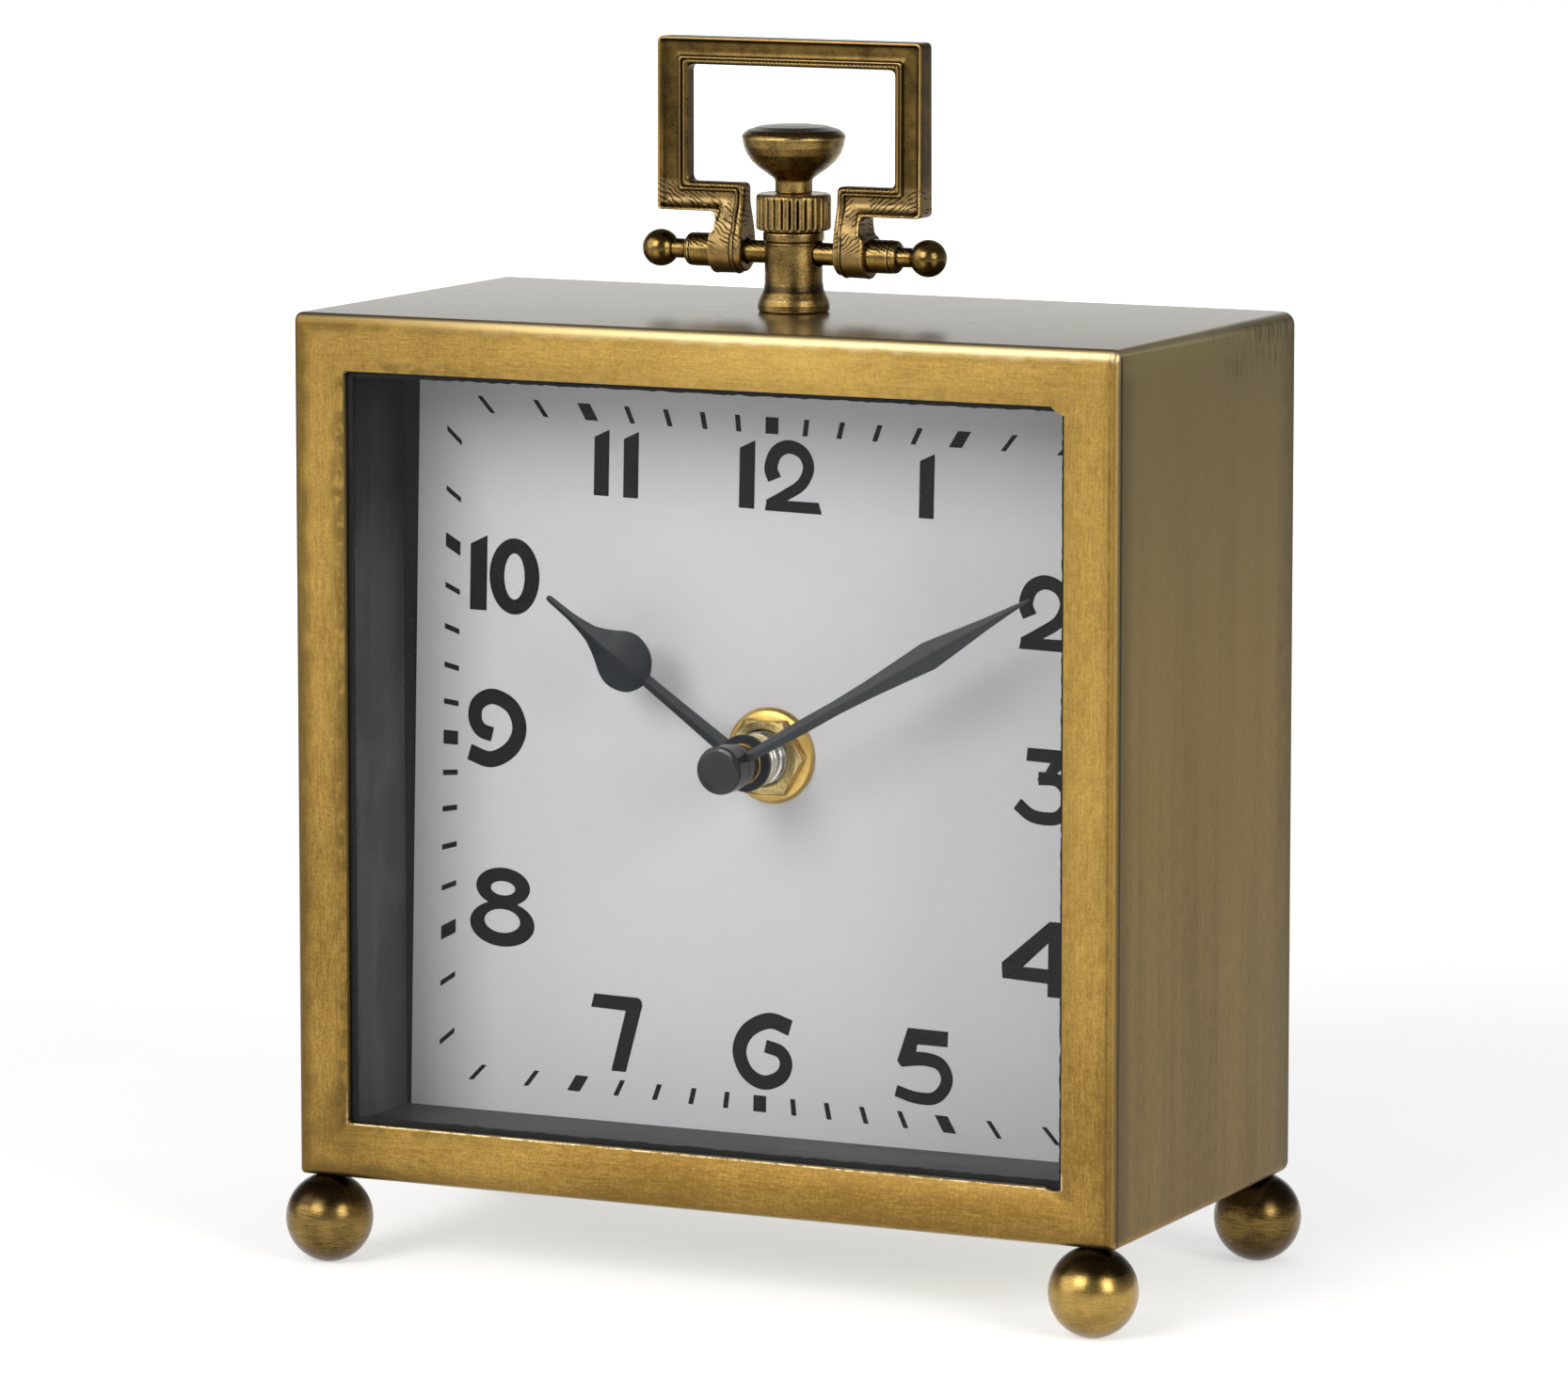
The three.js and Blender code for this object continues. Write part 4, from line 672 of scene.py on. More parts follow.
def printed_ink():
    ink = Finish("dial_ink")
    coverage = ink.noise(ink.place(), 1.6, 4, 0.7)
    tone = ink.tint(coverage.eased(0.55, 0.85) * 0.5, (17, 17, 20), (38, 38, 42))
    return ink.surface(colour=tone, roughness=0.55, specular=0.15)


def hand_enamel(name, gloss, specular):
    enamel = Finish(name)
    place = enamel.place()
    orange_peel = enamel.noise(place, 2.0, 3, 0.5)
    mottle = enamel.noise(place, 0.3, 3)
    return enamel.surface(
        colour=enamel.tint(mottle, (18, 23, 28), (27, 34, 40)), roughness=gloss + mottle * 0.1,
        normal=enamel.bump(orange_peel, 0.01, 0.4), specular=specular,
    )


def pressed_board():
    board = Finish("pressed_board")
    fibre = board.noise(board.place(), 1.2, 5, 0.75, 0.5)
    painted_front = (0 - board.outwards()[1]).over(0.5)
    tone = board.tint(fibre.eased(0.3, 0.7), (92, 66, 42), (136, 102, 68))
    return board.surface(
        colour=board.coated(tone, (painted_front, 26, 26, 27)), roughness=0.85, normal=board.bump(fibre, 0.08, 0.5),
    )


cell_low, cell_high = corners_of("battery")
cell_seam = (cell_low.z + cell_high.z) / 2 + 3.0
cell_shoulder = cell_high.x - 1.4


def cell_wrap():
    wrap = Finish("cell_wrap")
    x, y, z = wrap.split(wrap.place())
    sheen = wrap.noise(wrap.vector(x * 0.1, y, z), 0.8, 3)
    seam = abs(z - cell_seam).faded(0.05, 0.18) * (0 - y).over(-6)
    tone = wrap.coated(
        wrap.tint(x.over(8.0), (38, 66, 104), (186, 152, 84)),
        (sheen * 0.3, 70, 84, 104), (seam * 0.5, 24, 34, 50),
        (x.over(cell_shoulder).most((0 - x).over(24.2)), 206, 206, 204),
    )
    return wrap.surface(colour=tone, metal=0.55, roughness=0.22 + sheen * 0.1)


paper_of_dial = dial_paper()
ink = printed_ink()
hour_enamel = hand_enamel("hour_enamel", 0.3, 0.2)
minute_enamel = hand_enamel("minute_enamel", 0.24, 0.46)
fibreboard = pressed_board()
wrap_of_cell = cell_wrap()
print("paper, ink, enamel, board and cell wrap mixed")

# %% [markdown]
# ## Dressing the solids
#
# A solid whose shape is right stays and only gets its finish. The record names a material slot
# for each solid, so one table of slot to finish dresses them all. What follows then replaces the
# solids that need finer shapes.

# %% Finishes for the solids that stay
finish_of_slot = {
    "case_brass": brass_of_case, "feet_brass": foot_brass, "fittings_bronze": fitting_bronze,
    "polished_brass": polished_brass, "black_hands": minute_enamel, "black_plastic": black_plastic,
    "black_liner": black_of_liner, "nylon": nylon, "plated_steel": zinc_steel, "nickel": nickel,
    "glass": glass, "rubber": rubber, "paper": paper_of_dial, "fibreboard": fibreboard,
    "copper_wire": copper_wire, "circuit_green": circuit_green, "cell_wrap": wrap_of_cell,
    "black_panel": black_paint,
}
slot_of_node = {row["node"]: row["material_slot"] for row in frame["record"]["subparts"]}
for name, solid in nodes.items():
    solid.data.materials.clear()
    solid.data.materials.append(finish_of_slot[slot_of_node[name]])
print(f"{len(nodes)} solids dressed from {len(finish_of_slot)} finishes")

# %% [markdown]
# ## Making pieces
#
# Most of this clock is either turned on a lathe or is a profile carried along a path. Both are
# rows of points with a skin between neighbouring rows, so one helper skins rows and the others
# only lay the rows out. Points are in millimetres. The lathe profiles get their corners rounded
# first: a real edge always catches a line of light, and a sharp one never does.

# %% Skins, lathes and rounded profiles
smooth_angle = 32


def smoothed(mesh, crisp=smooth_angle):
    """Smooth except where it turns by more than crisp degrees."""
    mesh.shade_smooth()
    mesh.set_sharp_from_angle(angle=radians(crisp))


def formed(name, points, faces, finish, crisp=smooth_angle):
    """A mesh piece with faces outwards."""
    mesh = bpy.data.meshes.new(name)
    sheet_of_faces = bmesh.new()
    corners = [sheet_of_faces.verts.new(Vector(point) * mm) for point in points]
    for face in faces:
        sheet_of_faces.faces.new([corners[index] for index in face])
    bmesh.ops.remove_doubles(sheet_of_faces, verts=sheet_of_faces.verts, dist=0.002 * mm)
    bmesh.ops.recalc_face_normals(sheet_of_faces, faces=sheet_of_faces.faces)
    sheet_of_faces.to_mesh(mesh)
    sheet_of_faces.free()
    mesh.materials.append(finish)
    smoothed(mesh, crisp)
    return in_scene(name, mesh)


def skin(rows, ring=True, loop=False):
    """Faces between neighbouring rows; a ring closes each row, a loop joins the last row to the first."""
    count = len(rows[0])
    points = [point for row in rows for point in row]
    faces = []
    for r in range(len(rows) if loop else len(rows) - 1):
        for c in range(count if ring else count - 1):
            here, there = r * count, (r + 1) % len(rows) * count
            faces.append((here + c, here + (c + 1) % count, there + (c + 1) % count, there + c))
    return points, faces


corner_share = 0.45


def corner_curve(corner, a, b, cut, steps):
    """A rounded corner between the sides a and b, that leaves each at the same cut."""
    start, end = corner + a.normalized() * cut, corner + b.normalized() * cut
    shares = [step / steps for step in range(steps + 1)]
    return [(1 - t) ** 2 * start + 2 * t * (1 - t) * corner + t ** 2 * end for t in shares]


def softened(corners, radius, steps=4):
    """An open flat outline with its corners rounded, never by more than the sides allow."""
    flat = [Vector(corner) for corner in corners]
    path = [tuple(flat[0])]
    for before, corner, after in zip(flat, flat[1:], flat[2:]):
        a, b = before - corner, after - corner
        if a.length < 1e-6 or b.length < 1e-6:
            path.append(tuple(corner))
            continue
        reach = min(a.length, b.length) * corner_share
        cut = min(radius / max(tan(a.angle(b, pi) / 2), 1e-3), reach)
        path += [tuple(point) for point in corner_curve(corner, a, b, cut, steps)]
    return path + [tuple(flat[-1])]


def offset_from(radius, along, *steps):
    """Profile points, each given as a step from a radius and from a place along the axis."""
    return [(radius + out, along + further) for out, further in steps]


def wall(radius, low, high, count):
    """A straight wall of a profile, in count equal steps."""
    return [(radius, low + (high - low) * step / count) for step in range(count + 1)]


def supported(profile, near=0.3):
    """The same profile with points close to the ends of each long straight, so that wear stays at the edges."""
    full = [profile[0]]
    for a, b in zip(profile, profile[1:]):
        run = hypot(b[0] - a[0], b[1] - a[1])
        if run > 3 * near:
            for t in (near / run, 1 - near / run):
                full.append((a[0] + (b[0] - a[0]) * t, a[1] + (b[1] - a[1]) * t))
        full.append(b)
    return full


def turned(name, profile, finish, axis="z", centre=(0, 0, 0), sides=96, radius_at=None, crisp=smooth_angle):
    """A lathe piece from (radius, distance along the axis); radius_at may knurl or thread it."""
    rows = []
    for radius, along in supported(profile):
        row = []
        for side in range(sides):
            angle = 2 * pi * side / sides
            r = radius_at(radius, along, angle) if radius_at else radius
            u, v = r * cos(angle), r * sin(angle)
            x, y, z = {"x": (along, u, v), "y": (u, along, v), "z": (u, v, along)}[axis]
            row.append((centre[0] + x, centre[1] + y, centre[2] + z))
        rows.append(row)
    points, faces = skin(rows)
    return formed(name, points, faces, finish, crisp)


def together(name, parts, finish, crisp):
    """One piece from several skins."""
    points, faces = [], []
    for some_points, some_faces in parts:
        start = len(points)
        points += some_points
        faces += [tuple(start + i for i in face) for face in some_faces]
    return formed(name, points, faces, finish, crisp)


def seeded(name, points, edges=(), faces=()):
    """A piece straight from its points, which are in metres."""
    mesh = bpy.data.meshes.new(name)
    mesh.from_pydata(points, edges, faces)
    return in_scene(name, mesh)


def applied(piece, modifier, crisp=smooth_angle):
    """Keeps what the modifier makes as the piece's own plain mesh."""
    graph = bpy.context.evaluated_depsgraph_get()
    made = bpy.data.meshes.new_from_object(piece.evaluated_get(graph))
    piece.modifiers.remove(modifier)
    piece.data = made
    smoothed(made, crisp)


def bored(piece, cutter):
    """Cuts the cutter out of the piece and drops the cutter."""
    boolean = piece.modifiers.new("bore", "BOOLEAN")
    boolean.operation, boolean.object, boolean.solver = "DIFFERENCE", cutter, "EXACT"
    applied(piece, boolean)
    bpy.data.objects.remove(cutter)
    return piece


def weathered(piece):
    """Stores how sharply each point sticks out: towards 1 on an edge, towards -1 in a groove."""
    shape = bmesh.new()
    shape.from_mesh(piece.data)
    wear = []
    for point in shape.verts:
        area = sum(face.calc_area() / len(face.verts) for face in point.link_faces)
        turn = sum(edge.calc_length() * edge.calc_face_angle_signed(0) for edge in point.link_edges)
        curvature = turn / max(4 * area, 1e-12) * mm
        wear.append(max(-1.0, min(1.0, curvature / 2)))
    shape.free()
    stored = piece.data.attributes.new("wear", "FLOAT", "POINT")
    stored.data.foreach_set("value", wear)


def settle(piece, body, slot, *solids):
    """The piece rides on a body and stands for these solids, which are hidden; the slot is not used."""
    weathered(piece)
    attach(piece, body)
    if solids:
        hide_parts(*solids)
    reach = [[vertex.co[i] / mm for vertex in piece.data.vertices] for i in range(3)]
    size = Vector([max(values) - min(values) for values in reach])
    print(f"{piece.name}: {size.x:.1f} x {size.y:.1f} x {size.z:.1f} mm, {len(piece.data.polygons)} faces")


def on_shaft(name, profile, finish, body, slot, *solids, **shape):
    """A lathe piece about the hands' shaft, settled."""
    piece = turned(name, profile, finish, axis="y", centre=(0, 0, shaft_up), **shape)
    settle(piece, body, slot, *solids)


# %% [markdown]
# ## The case
#
# The real case is a sheet folded into a square sleeve with a window frame bent over its front.
# Its one curve that matters is the bend: a small radius that draws a bright line along every
# front edge, broadest along the top. The sleeve's own corners are tight in front and rounder
# behind. A cube with a Bevel modifier would give a bend too, but an even one, and not the worn
# corners of the window, where the frame was welded and dressed by hand. So the case is a closed
# skin over rings that run round it: out of the back, along the sides, over the bend, across the
# rail, through the window and back along the inside.

# %% Case shell
corner_steps, bend_steps = 8, 8
back_corner, inner_corner, window_corner = 2.0, 0.4, 0.35
front_corners = (1.1, 1.2, 0.7, 0.6)
top_soft, edge_break, back_break = 0.6, 0.25, 0.15
weld_width, weld_height, weld_bulge = 2.1, 1.25, 0.12
filed_width, filed_depth = 2.6, 0.45
window_half = Vector((case_half.x - rail_width, 0, case_half.z - rail_width))
front, back = case_low.y, case_high.y


def corner_run(half_x, half_z, radii, y, shaped=None, top_drop=0.0):
    """One ring round the case: four corners of the same number of points."""
    points = []
    if not isinstance(radii, tuple):
        radii = (radii,) * 4
    for corner, (side, level) in enumerate(((1, 1), (-1, 1), (-1, -1), (1, -1))):
        for step in range(corner_steps + 1):
            t = step / corner_steps
            if shaped and corner in shaped:
                dx, dz = shaped[corner](t)
                x, z = side * half_x + dx, level * half_z + dz
            else:
                angle, radius = (corner + t) * pi / 2, radii[corner]
                x = side * (half_x - radius) + radius * cos(angle)
                z = level * (half_z - radius) + radius * sin(angle)
            points.append((x, y, case_middle + z - (top_drop if level > 0 else 0)))
    return points


def sleeve_ring(inset, radii, y, top_drop=0.0):
    """A ring round the sleeve, that far inside its outer face."""
    return corner_run(case_half.x - inset, case_half.z - inset, radii, y, top_drop=top_drop)


def welded_corner(t):
    """The top right window corner, filled by a slanting weld."""
    bulge = weld_bulge * sin(pi * t)
    return -weld_width * t - bulge, -weld_height * (1 - t) - bulge


def filed_corner(t):
    """The bottom right window corner, filed a little too deep."""
    return -filed_width * (1 - t), -filed_depth * sin(min(t * 1.6, 1) * pi / 2) + 0.25 * max(t - 0.8, 0) / 0.2


shaped_corners = {0: welded_corner, 3: filed_corner}
case_rings = [
    sleeve_ring(sheet, inner_corner, back),
    sleeve_ring(back_break, back_corner, back),
    sleeve_ring(0, back_corner, back - back_break),
]
for step in range(bend_steps + 1):
    a = pi / 2 * step / bend_steps
    inset = bend_radius * (1 - cos(a))
    radii = tuple(max(radius - inset * 0.7, 0.2) for radius in front_corners)
    case_rings.append(sleeve_ring(inset, radii, front + bend_radius * (1 - sin(a)), top_soft * (1 - cos(a))))
for out, deep in ((edge_break, 0), (edge_break * 0.3, edge_break * 0.3), (0, edge_break), (0, sheet)):
    case_rings.append(corner_run(
        window_half.x + out, window_half.z + out, window_corner, front + deep, shaped_corners,
    ))
case_rings.append(sleeve_ring(sheet, inner_corner, front + sheet))
case_piece = formed("case_folded", *skin(case_rings, loop=True), brass_of_case, 40)
settle(case_piece, "case", "case_brass", "case_shell")

# %% [markdown]
# ## Ball feet
#
# Each foot is a turned ball that meets the case by itself, a hair taller than it is wide, with a
# tiny flat where it has stood. One profile serves all four.

# %% Feet
foot_low, foot_high = corners_of("foot_front_left")
foot_radius = (foot_high.x - foot_low.x) / 2
foot_tall = foot_radius + 0.17
foot_centre = foot_tall - 0.06
foot_top = foot_high.z + 0.08
foot_steps = 48
flat_angle, top_angle = asin(-foot_centre / foot_tall), asin((foot_top - foot_centre) / foot_tall)
foot_profile = [(0, 0)]
for step in range(foot_steps + 1):
    a = flat_angle + (top_angle - flat_angle) * step / foot_steps
    foot_profile.append((foot_radius * cos(a), foot_centre + foot_tall * sin(a)))
foot_profile.append((0, foot_top))
for corner in ("front_left", "front_right", "rear_left", "rear_right"):
    low, high = corners_of(f"foot_{corner}")
    centre = ((low.x + high.x) / 2, (low.y + high.y) / 2, 0)
    foot = turned(f"ball_foot_{corner}", foot_profile, foot_brass, centre=centre)
    settle(foot, "case", "feet_brass", f"foot_{corner}")

# %% [markdown]
# ## Column
#
# The column is turned from bar: a bell-shaped foot, a plain shank that the crossbar goes
# through, and a shoulder band under the knurled collar with a fine groove below it. The crossbar
# hole runs through the shank, cut with a Boolean, the one operation a lathe can't do.

# %% Column
column_low, column_high = corners_of("column")
collar_low, collar_high = corners_of("knurled_collar")
column_radius, column_shoulder, spigot = 4.28, 4.5, 2.2
column_base = (column_high.x - column_low.x) / 2 + 0.12
column_top = collar_low.z - 0.1
rod_radius, run_gap = 1.675, 0.25


def rod_bore(half_length):
    """A cutter for the hole that the crossbar goes through."""
    radius = rod_radius + run_gap
    profile = [(0, -half_length), (radius, -half_length), (radius, half_length), (0, half_length)]
    return turned("rod_bore", profile, fitting_bronze, axis="x", centre=(0, 0, pivot_up), sides=48)


column = turned("turned_column", softened([
    (0, column_low.z),
    *offset_from(column_base, column_low.z, (-0.3, 0), (-0.02, 0.35), (0, 1.25), (-0.16, 1.9), (-0.45, 2.5)),
    *offset_from(column_radius, column_low.z, (0.16, 3.3), (0, 4.4)),
    *offset_from(column_radius, column_top, (0, -1.95), (0.1, -1.75), (-0.1, -1.6), (0.05, -1.45)),
    *offset_from(column_shoulder, column_top, (0, -1.25), (0, -0.25), (-0.25, 0)),
    (spigot, column_top), (spigot, column_high.z), (0, column_high.z),
], 0.3, 3), fitting_bronze)
settle(bored(column, rod_bore(8)), "case", "fittings_bronze", "column")

# %% [markdown]
# ## Knurled collar
#
# A straight knurl is twenty-eight small flutes pressed into a turned ring. That is a rule, not
# a shape, so Geometry Nodes press them: the ring is turned plain, and the tree moves each point
# of its outer wall inwards by the depth of the flute it lies in. The flutes fade out at the
# rims, as a knurling wheel leaves them.

# %% Collar with its flutes
def new_tree(name, *inputs):
    """A Geometry Nodes tree with named inputs, and a way to reach them."""
    tree = bpy.data.node_groups.new(name, "GeometryNodeTree")
    tree.interface.new_socket("Geometry", in_out="OUTPUT", socket_type="NodeSocketGeometry")
    for title, kind in (("Geometry", "Geometry"), *inputs, ("Finish", "Material")):
        tree.interface.new_socket(title, in_out="INPUT", socket_type=f"NodeSocket{kind}")
    entry = tree.nodes.new("NodeGroupInput")
    work = Graph(tree)
    return work, {socket.name: Flow(work, socket) for socket in entry.outputs if socket.name}


def end_tree(work, geometry, finish):
    """Realizes the instances and gives the result its finish."""
    solid = work.node("GeometryNodeRealizeInstances", None, {0: geometry})
    done = work.node("GeometryNodeSetMaterial", None, {"Geometry": solid, "Material": finish})
    leave = work.tree.nodes.new("NodeGroupOutput")
    work.tree.links.new(done.socket, leave.inputs[0])


def grown(piece, work, values, crisp=smooth_angle):
    """Runs a tree on a piece and keeps the result."""
    modifier = piece.modifiers.new("tree", "NODES")
    modifier.node_group = work.tree
    for item in work.tree.interface.items_tree:
        if item.item_type == "SOCKET" and item.in_out == "INPUT" and item.name in values:
            modifier[item.identifier] = values[item.name]
    applied(piece, modifier, crisp)


knurl, knurl_in = new_tree(
    "straight_knurl", ("Flutes", "Int"), ("Depth", "Float"), ("Wall radius", "Float"),
    ("Low", "Float"), ("High", "Float"), ("Fade", "Float"),
)
kx, ky, kz = knurl.split(knurl.node("GeometryNodeInputPosition"))
knurl_radius = radius_of(kx, ky)
wave = (ky.maths("ARCTAN2", kx) * knurl_in["Flutes"]).maths("COSINE")
valley = ((1 - wave) / 2) ** 4
on_wall = knurl_radius.over(knurl_in["Wall radius"])
rim_low = kz.eased(knurl_in["Low"], knurl_in["Low"] + knurl_in["Fade"])
rim_high = kz.faded(knurl_in["High"] - knurl_in["Fade"], knurl_in["High"])
press = valley * on_wall * rim_low * rim_high * knurl_in["Depth"] / knurl_radius.most(0.0001)
knurl_shift = knurl.vector(0 - kx * press, 0 - ky * press, 0.0)
knurl_moved = knurl.node("GeometryNodeSetPosition", None, {"Geometry": knurl_in["Geometry"], "Offset": knurl_shift})
end_tree(knurl, knurl_moved, knurl_in["Finish"])

collar_radius = (collar_high.x - collar_low.x) / 2 + 0.2
collar_bore = spigot + 0.3
collar_top = collar_high.z + 0.4
collar_flutes, flute_depth = 28, 0.4
collar = turned("fluted_collar", [
    (collar_bore, collar_low.z), (collar_radius - 0.55, collar_low.z), (collar_radius - 0.2, collar_low.z + 0.12),
    *wall(collar_radius, collar_low.z + 0.4, collar_top - 0.55, 12),
    *offset_from(collar_radius, collar_top, (-0.04, -0.38), (-0.16, -0.16), (-0.45, 0)),
    (collar_bore, collar_top), (collar_bore, collar_low.z),
], fitting_bronze, sides=360)
grown(collar, knurl, {
    "Flutes": collar_flutes, "Depth": flute_depth * mm, "Wall radius": (collar_radius - 0.3) * mm,
    "Low": (collar_low.z + 0.1) * mm, "High": (collar_top - 0.55) * mm, "Fade": 0.35 * mm,
    "Finish": fitting_bronze,
}, 60)
settle(collar, "case", "fittings_bronze", "knurled_collar")

# %% [markdown]
# ## Crown knob, crossbar and finials
#
# The crown is a mushroom: a slim neck, a flared cup and a low domed top with a rounded rim. The
# crossbar is plain rod, and each end carries a finial with a collar, a groove, a neck and a ball.

# %% Crown, crossbar and finials
crown_low, crown_high = corners_of("crown_knob")
crown_radius = (crown_high.x - crown_low.x) / 2
crown_foot = collar_top + 0.1
crown_rim = crown_high.z - 1.85
crown_screw, crown_neck = 0.9, 2.75
crown = turned("mushroom_crown", softened([
    (0, crown_low.z), (crown_screw, crown_low.z), (crown_screw, crown_foot),
    *offset_from(crown_neck, crown_foot, (-0.1, 0), (0, 0.15)),
    *offset_from(crown_neck, crown_rim, (0, -6.4), (0.25, -6.0), (1.15, -5.35), (2.35, -4.5), (3.45, -3.5)),
    *offset_from(crown_neck, crown_rim, (4.2, -2.4), (4.62, -1.3)),
    *offset_from(crown_radius, crown_rim, (-0.12, -0.4), (0, 0), (-0.22, 0.5), (-0.95, 1.05)),
    *offset_from(crown_radius, crown_high.z, (-2.6, -0.28), (-4.8, -0.06)),
    (0, crown_high.z),
], 0.8, 4), fitting_bronze, sides=128)
settle(crown, "case", "fittings_bronze", "crown_knob")

rod_low, rod_high = corners_of("handle_rod")
rod_end, rod_tip = rod_high.x - 3.2, 1.1
bar = turned("crossbar", softened([
    (0, rod_low.x), (rod_tip, rod_low.x), (rod_tip, -rod_end), (rod_radius, -rod_end),
    (rod_radius, rod_end), (rod_tip, rod_end), (rod_tip, rod_high.x), (0, rod_high.x),
], 0.1, 2), bar_bronze, axis="x", centre=(0, 0, pivot_up), sides=64)
settle(bar, "case", "fittings_bronze", "handle_rod")

ball_radius, finial_collar, finial_neck, finial_bore = 2.75, 2.475, 1.45, 1.4
neck_end, ball_steps = asin(finial_neck / ball_radius), 24
for side, hand in ((1, "right"), (-1, "left")):
    low, high = corners_of(f"rod_finial_{hand}")
    start, tip = (low.x, high.x) if side > 0 else (-high.x, -low.x)
    profile = softened([
        (0, start + 3.5), (finial_bore, start + 3.5), (finial_bore, start),
        *offset_from(finial_collar, start, (-0.1, 0), (0, 0.12), (0, 3.55), (-0.14, 3.65), (-0.14, 3.8)),
        *offset_from(finial_collar, start, (-0.02, 3.9), (-0.1, 4.35), (-0.45, 4.7)),
        *offset_from(finial_neck, start, (0.1, 4.85), (0, 5.3)),
    ], 0.18, 3)
    for step in range(ball_steps + 1):
        a = neck_end + (pi - neck_end) * step / ball_steps
        profile.append((ball_radius * sin(a), tip - ball_radius - ball_radius * cos(a)))
    profile = [(radius, side * along) for radius, along in profile]
    finial = turned(f"ball_finial_{hand}", profile, bar_bronze, axis="x", centre=(0, 0, pivot_up), sides=72)
    settle(finial, "case", "fittings_bronze", f"rod_finial_{hand}")

# %% [markdown]
# ## The bail handle
#
# The handle is cast: a square loop open at the bottom, whose bars have the section of a picture
# frame. From outside in there is a thin raised lip, a hollow channel, a bead, and lower down in
# the opening a second, finely milled bead. Where two bars meet, the section is mitred. Extruding
# an outline would give flat bars, so the section itself is carried along the path: every station
# of the path lays the section between a point on the outer outline and one on the inner outline,
# and the mitres come by themselves. Each line of the section rounds a corner by its own radius:
# the outer and inner edges softly, and the channel tightly, as a file leaves it. The legs deepen
# towards the crossbar, and each ends in an ear that is half a turn of the same section about the
# crossbar's axis.

# %% Handle outline and section
handle_low, handle_high = corners_of("handle")
loop_half, loop_top = handle_high.x, handle_high.z - pivot_up
side_bar, top_bar, arm_bar = 4.65, 4.1, 4.25
arm_under, ear_rise = 5.8, 2.4
arm_top, leg_foot = arm_under + arm_bar, ear_rise + 0.7
leg_inner, leg_outer, ear_outer = 7.5, 11.8, 12.6
bar_half = 1.9
ear_radius = (handle_high.y - handle_low.y) / 2


def mirrored(half):
    """A whole outline, right to left, from its right half."""
    return half + [(-x, z) for x, z in reversed(half)]


outer_line = mirrored([
    (ear_outer, 0), (ear_outer, ear_rise), (leg_outer, leg_foot), (leg_outer, arm_under),
    (loop_half, arm_under), (loop_half, loop_top),
])
inner_line = mirrored([
    (leg_inner, 0), (leg_inner, ear_rise), (leg_inner, leg_foot), (leg_inner, arm_top),
    (loop_half - side_bar, arm_top), (loop_half - side_bar, loop_top - top_bar),
])

# across the bar from 0, outside, to 1, inside; how far below the face on the loop; the same on
# the plainer legs; and the radius at which that line rounds a corner
section_front = [
    (0.0, 0.5, 0.5, 0.95), (0.008, 0.2, 0.2, 0.9), (0.03, 0.04, 0.05, 0.8), (0.065, 0.0, 0.0, 0.75),
    (0.095, 0.05, 0.03, 0.6), (0.118, 0.2, 0.05, 0.5), (0.138, 0.36, 0.06, 0.4), (0.19, 0.52, 0.07, 0.4),
    (0.28, 0.68, 0.08, 0.4), (0.4, 0.78, 0.09, 0.4), (0.54, 0.79, 0.1, 0.4), (0.64, 0.72, 0.11, 0.4),
    (0.695, 0.62, 0.15, 0.4), (0.712, 0.45, 0.12, 0.4), (0.73, 0.28, 0.03, 0.5), (0.755, 0.24, 0.0, 0.55),
    (0.778, 0.3, 0.04, 0.6),
    (0.795, 0.5, 0.14, 0.65), (0.81, 0.62, 0.3, 0.7), (0.83, 0.6, 0.32, 0.75), (0.85, 0.5, 0.33, 0.78),
    (0.885, 0.46, 0.34, 0.8), (0.92, 0.52, 0.36, 0.85), (0.96, 0.66, 0.42, 0.9), (1.0, 0.95, 0.7, 0.95),
]
wall_steps, wall_corner = (0.25, 0.5, 0.75), 0.95
swell_above, swell_power = 1.6, 1.35
plain_above, plain_run = 0.6, 2.4


def leg_depth(level):
    """How much deeper the bar is here than the plain bar: the legs swell towards the ears."""
    share = min(max(1 - level / (arm_under + swell_above), 0), 1)
    return 1 + (ear_radius / bar_half - 1) * (1 - (1 - share) ** swell_power)


def section_at(level):
    """The whole section at that height as (across, depth, corner radius), front then back."""
    half = bar_half * leg_depth(level)
    plain = min(max((arm_under + plain_above - level) / plain_run, 0), 1)
    below = [loop * (1 - plain) + leg * plain for across, loop, leg, turn in section_front]
    front_side = [(line[0], deep - half, line[3]) for line, deep in zip(section_front, below)]
    back_side = [(across, -depth, turn) for across, depth, turn in reversed(front_side)]
    inner_depth, outer_depth = half - below[-1], half - below[0]
    inner_wall = [(1.0, inner_depth * (2 * t - 1), wall_corner) for t in wall_steps]
    outer_wall = [(0.0, outer_depth * (1 - 2 * t), wall_corner) for t in wall_steps]
    return front_side + inner_wall + back_side + outer_wall


corner_turns, leg_run = 7, 5


def station_points(across, radius):
    """One line of the section along the loop: straight runs, and a fan of points at each corner."""
    path = [Vector(a).lerp(Vector(b), across) for a, b in zip(outer_line, inner_line)]
    last = len(path) - 1
    points = []
    for index, corner in enumerate(path):
        if index in (0, last):
            points.append(corner)
        else:
            a, b = path[index - 1] - corner, path[index + 1] - corner
            cut = min(radius, a.length * corner_share, b.length * corner_share)
            points += corner_curve(corner, a, b, cut, corner_turns)
        if index < last:
            side = path[index + 1] - corner
            goal = path[index + 1] - side.normalized() * min(radius, side.length * corner_share)
            here, run = points[-1], leg_run if index < 3 or index > last - 4 else 1
            points += [here.lerp(goal, step / run) for step in range(1, run)]
    return points


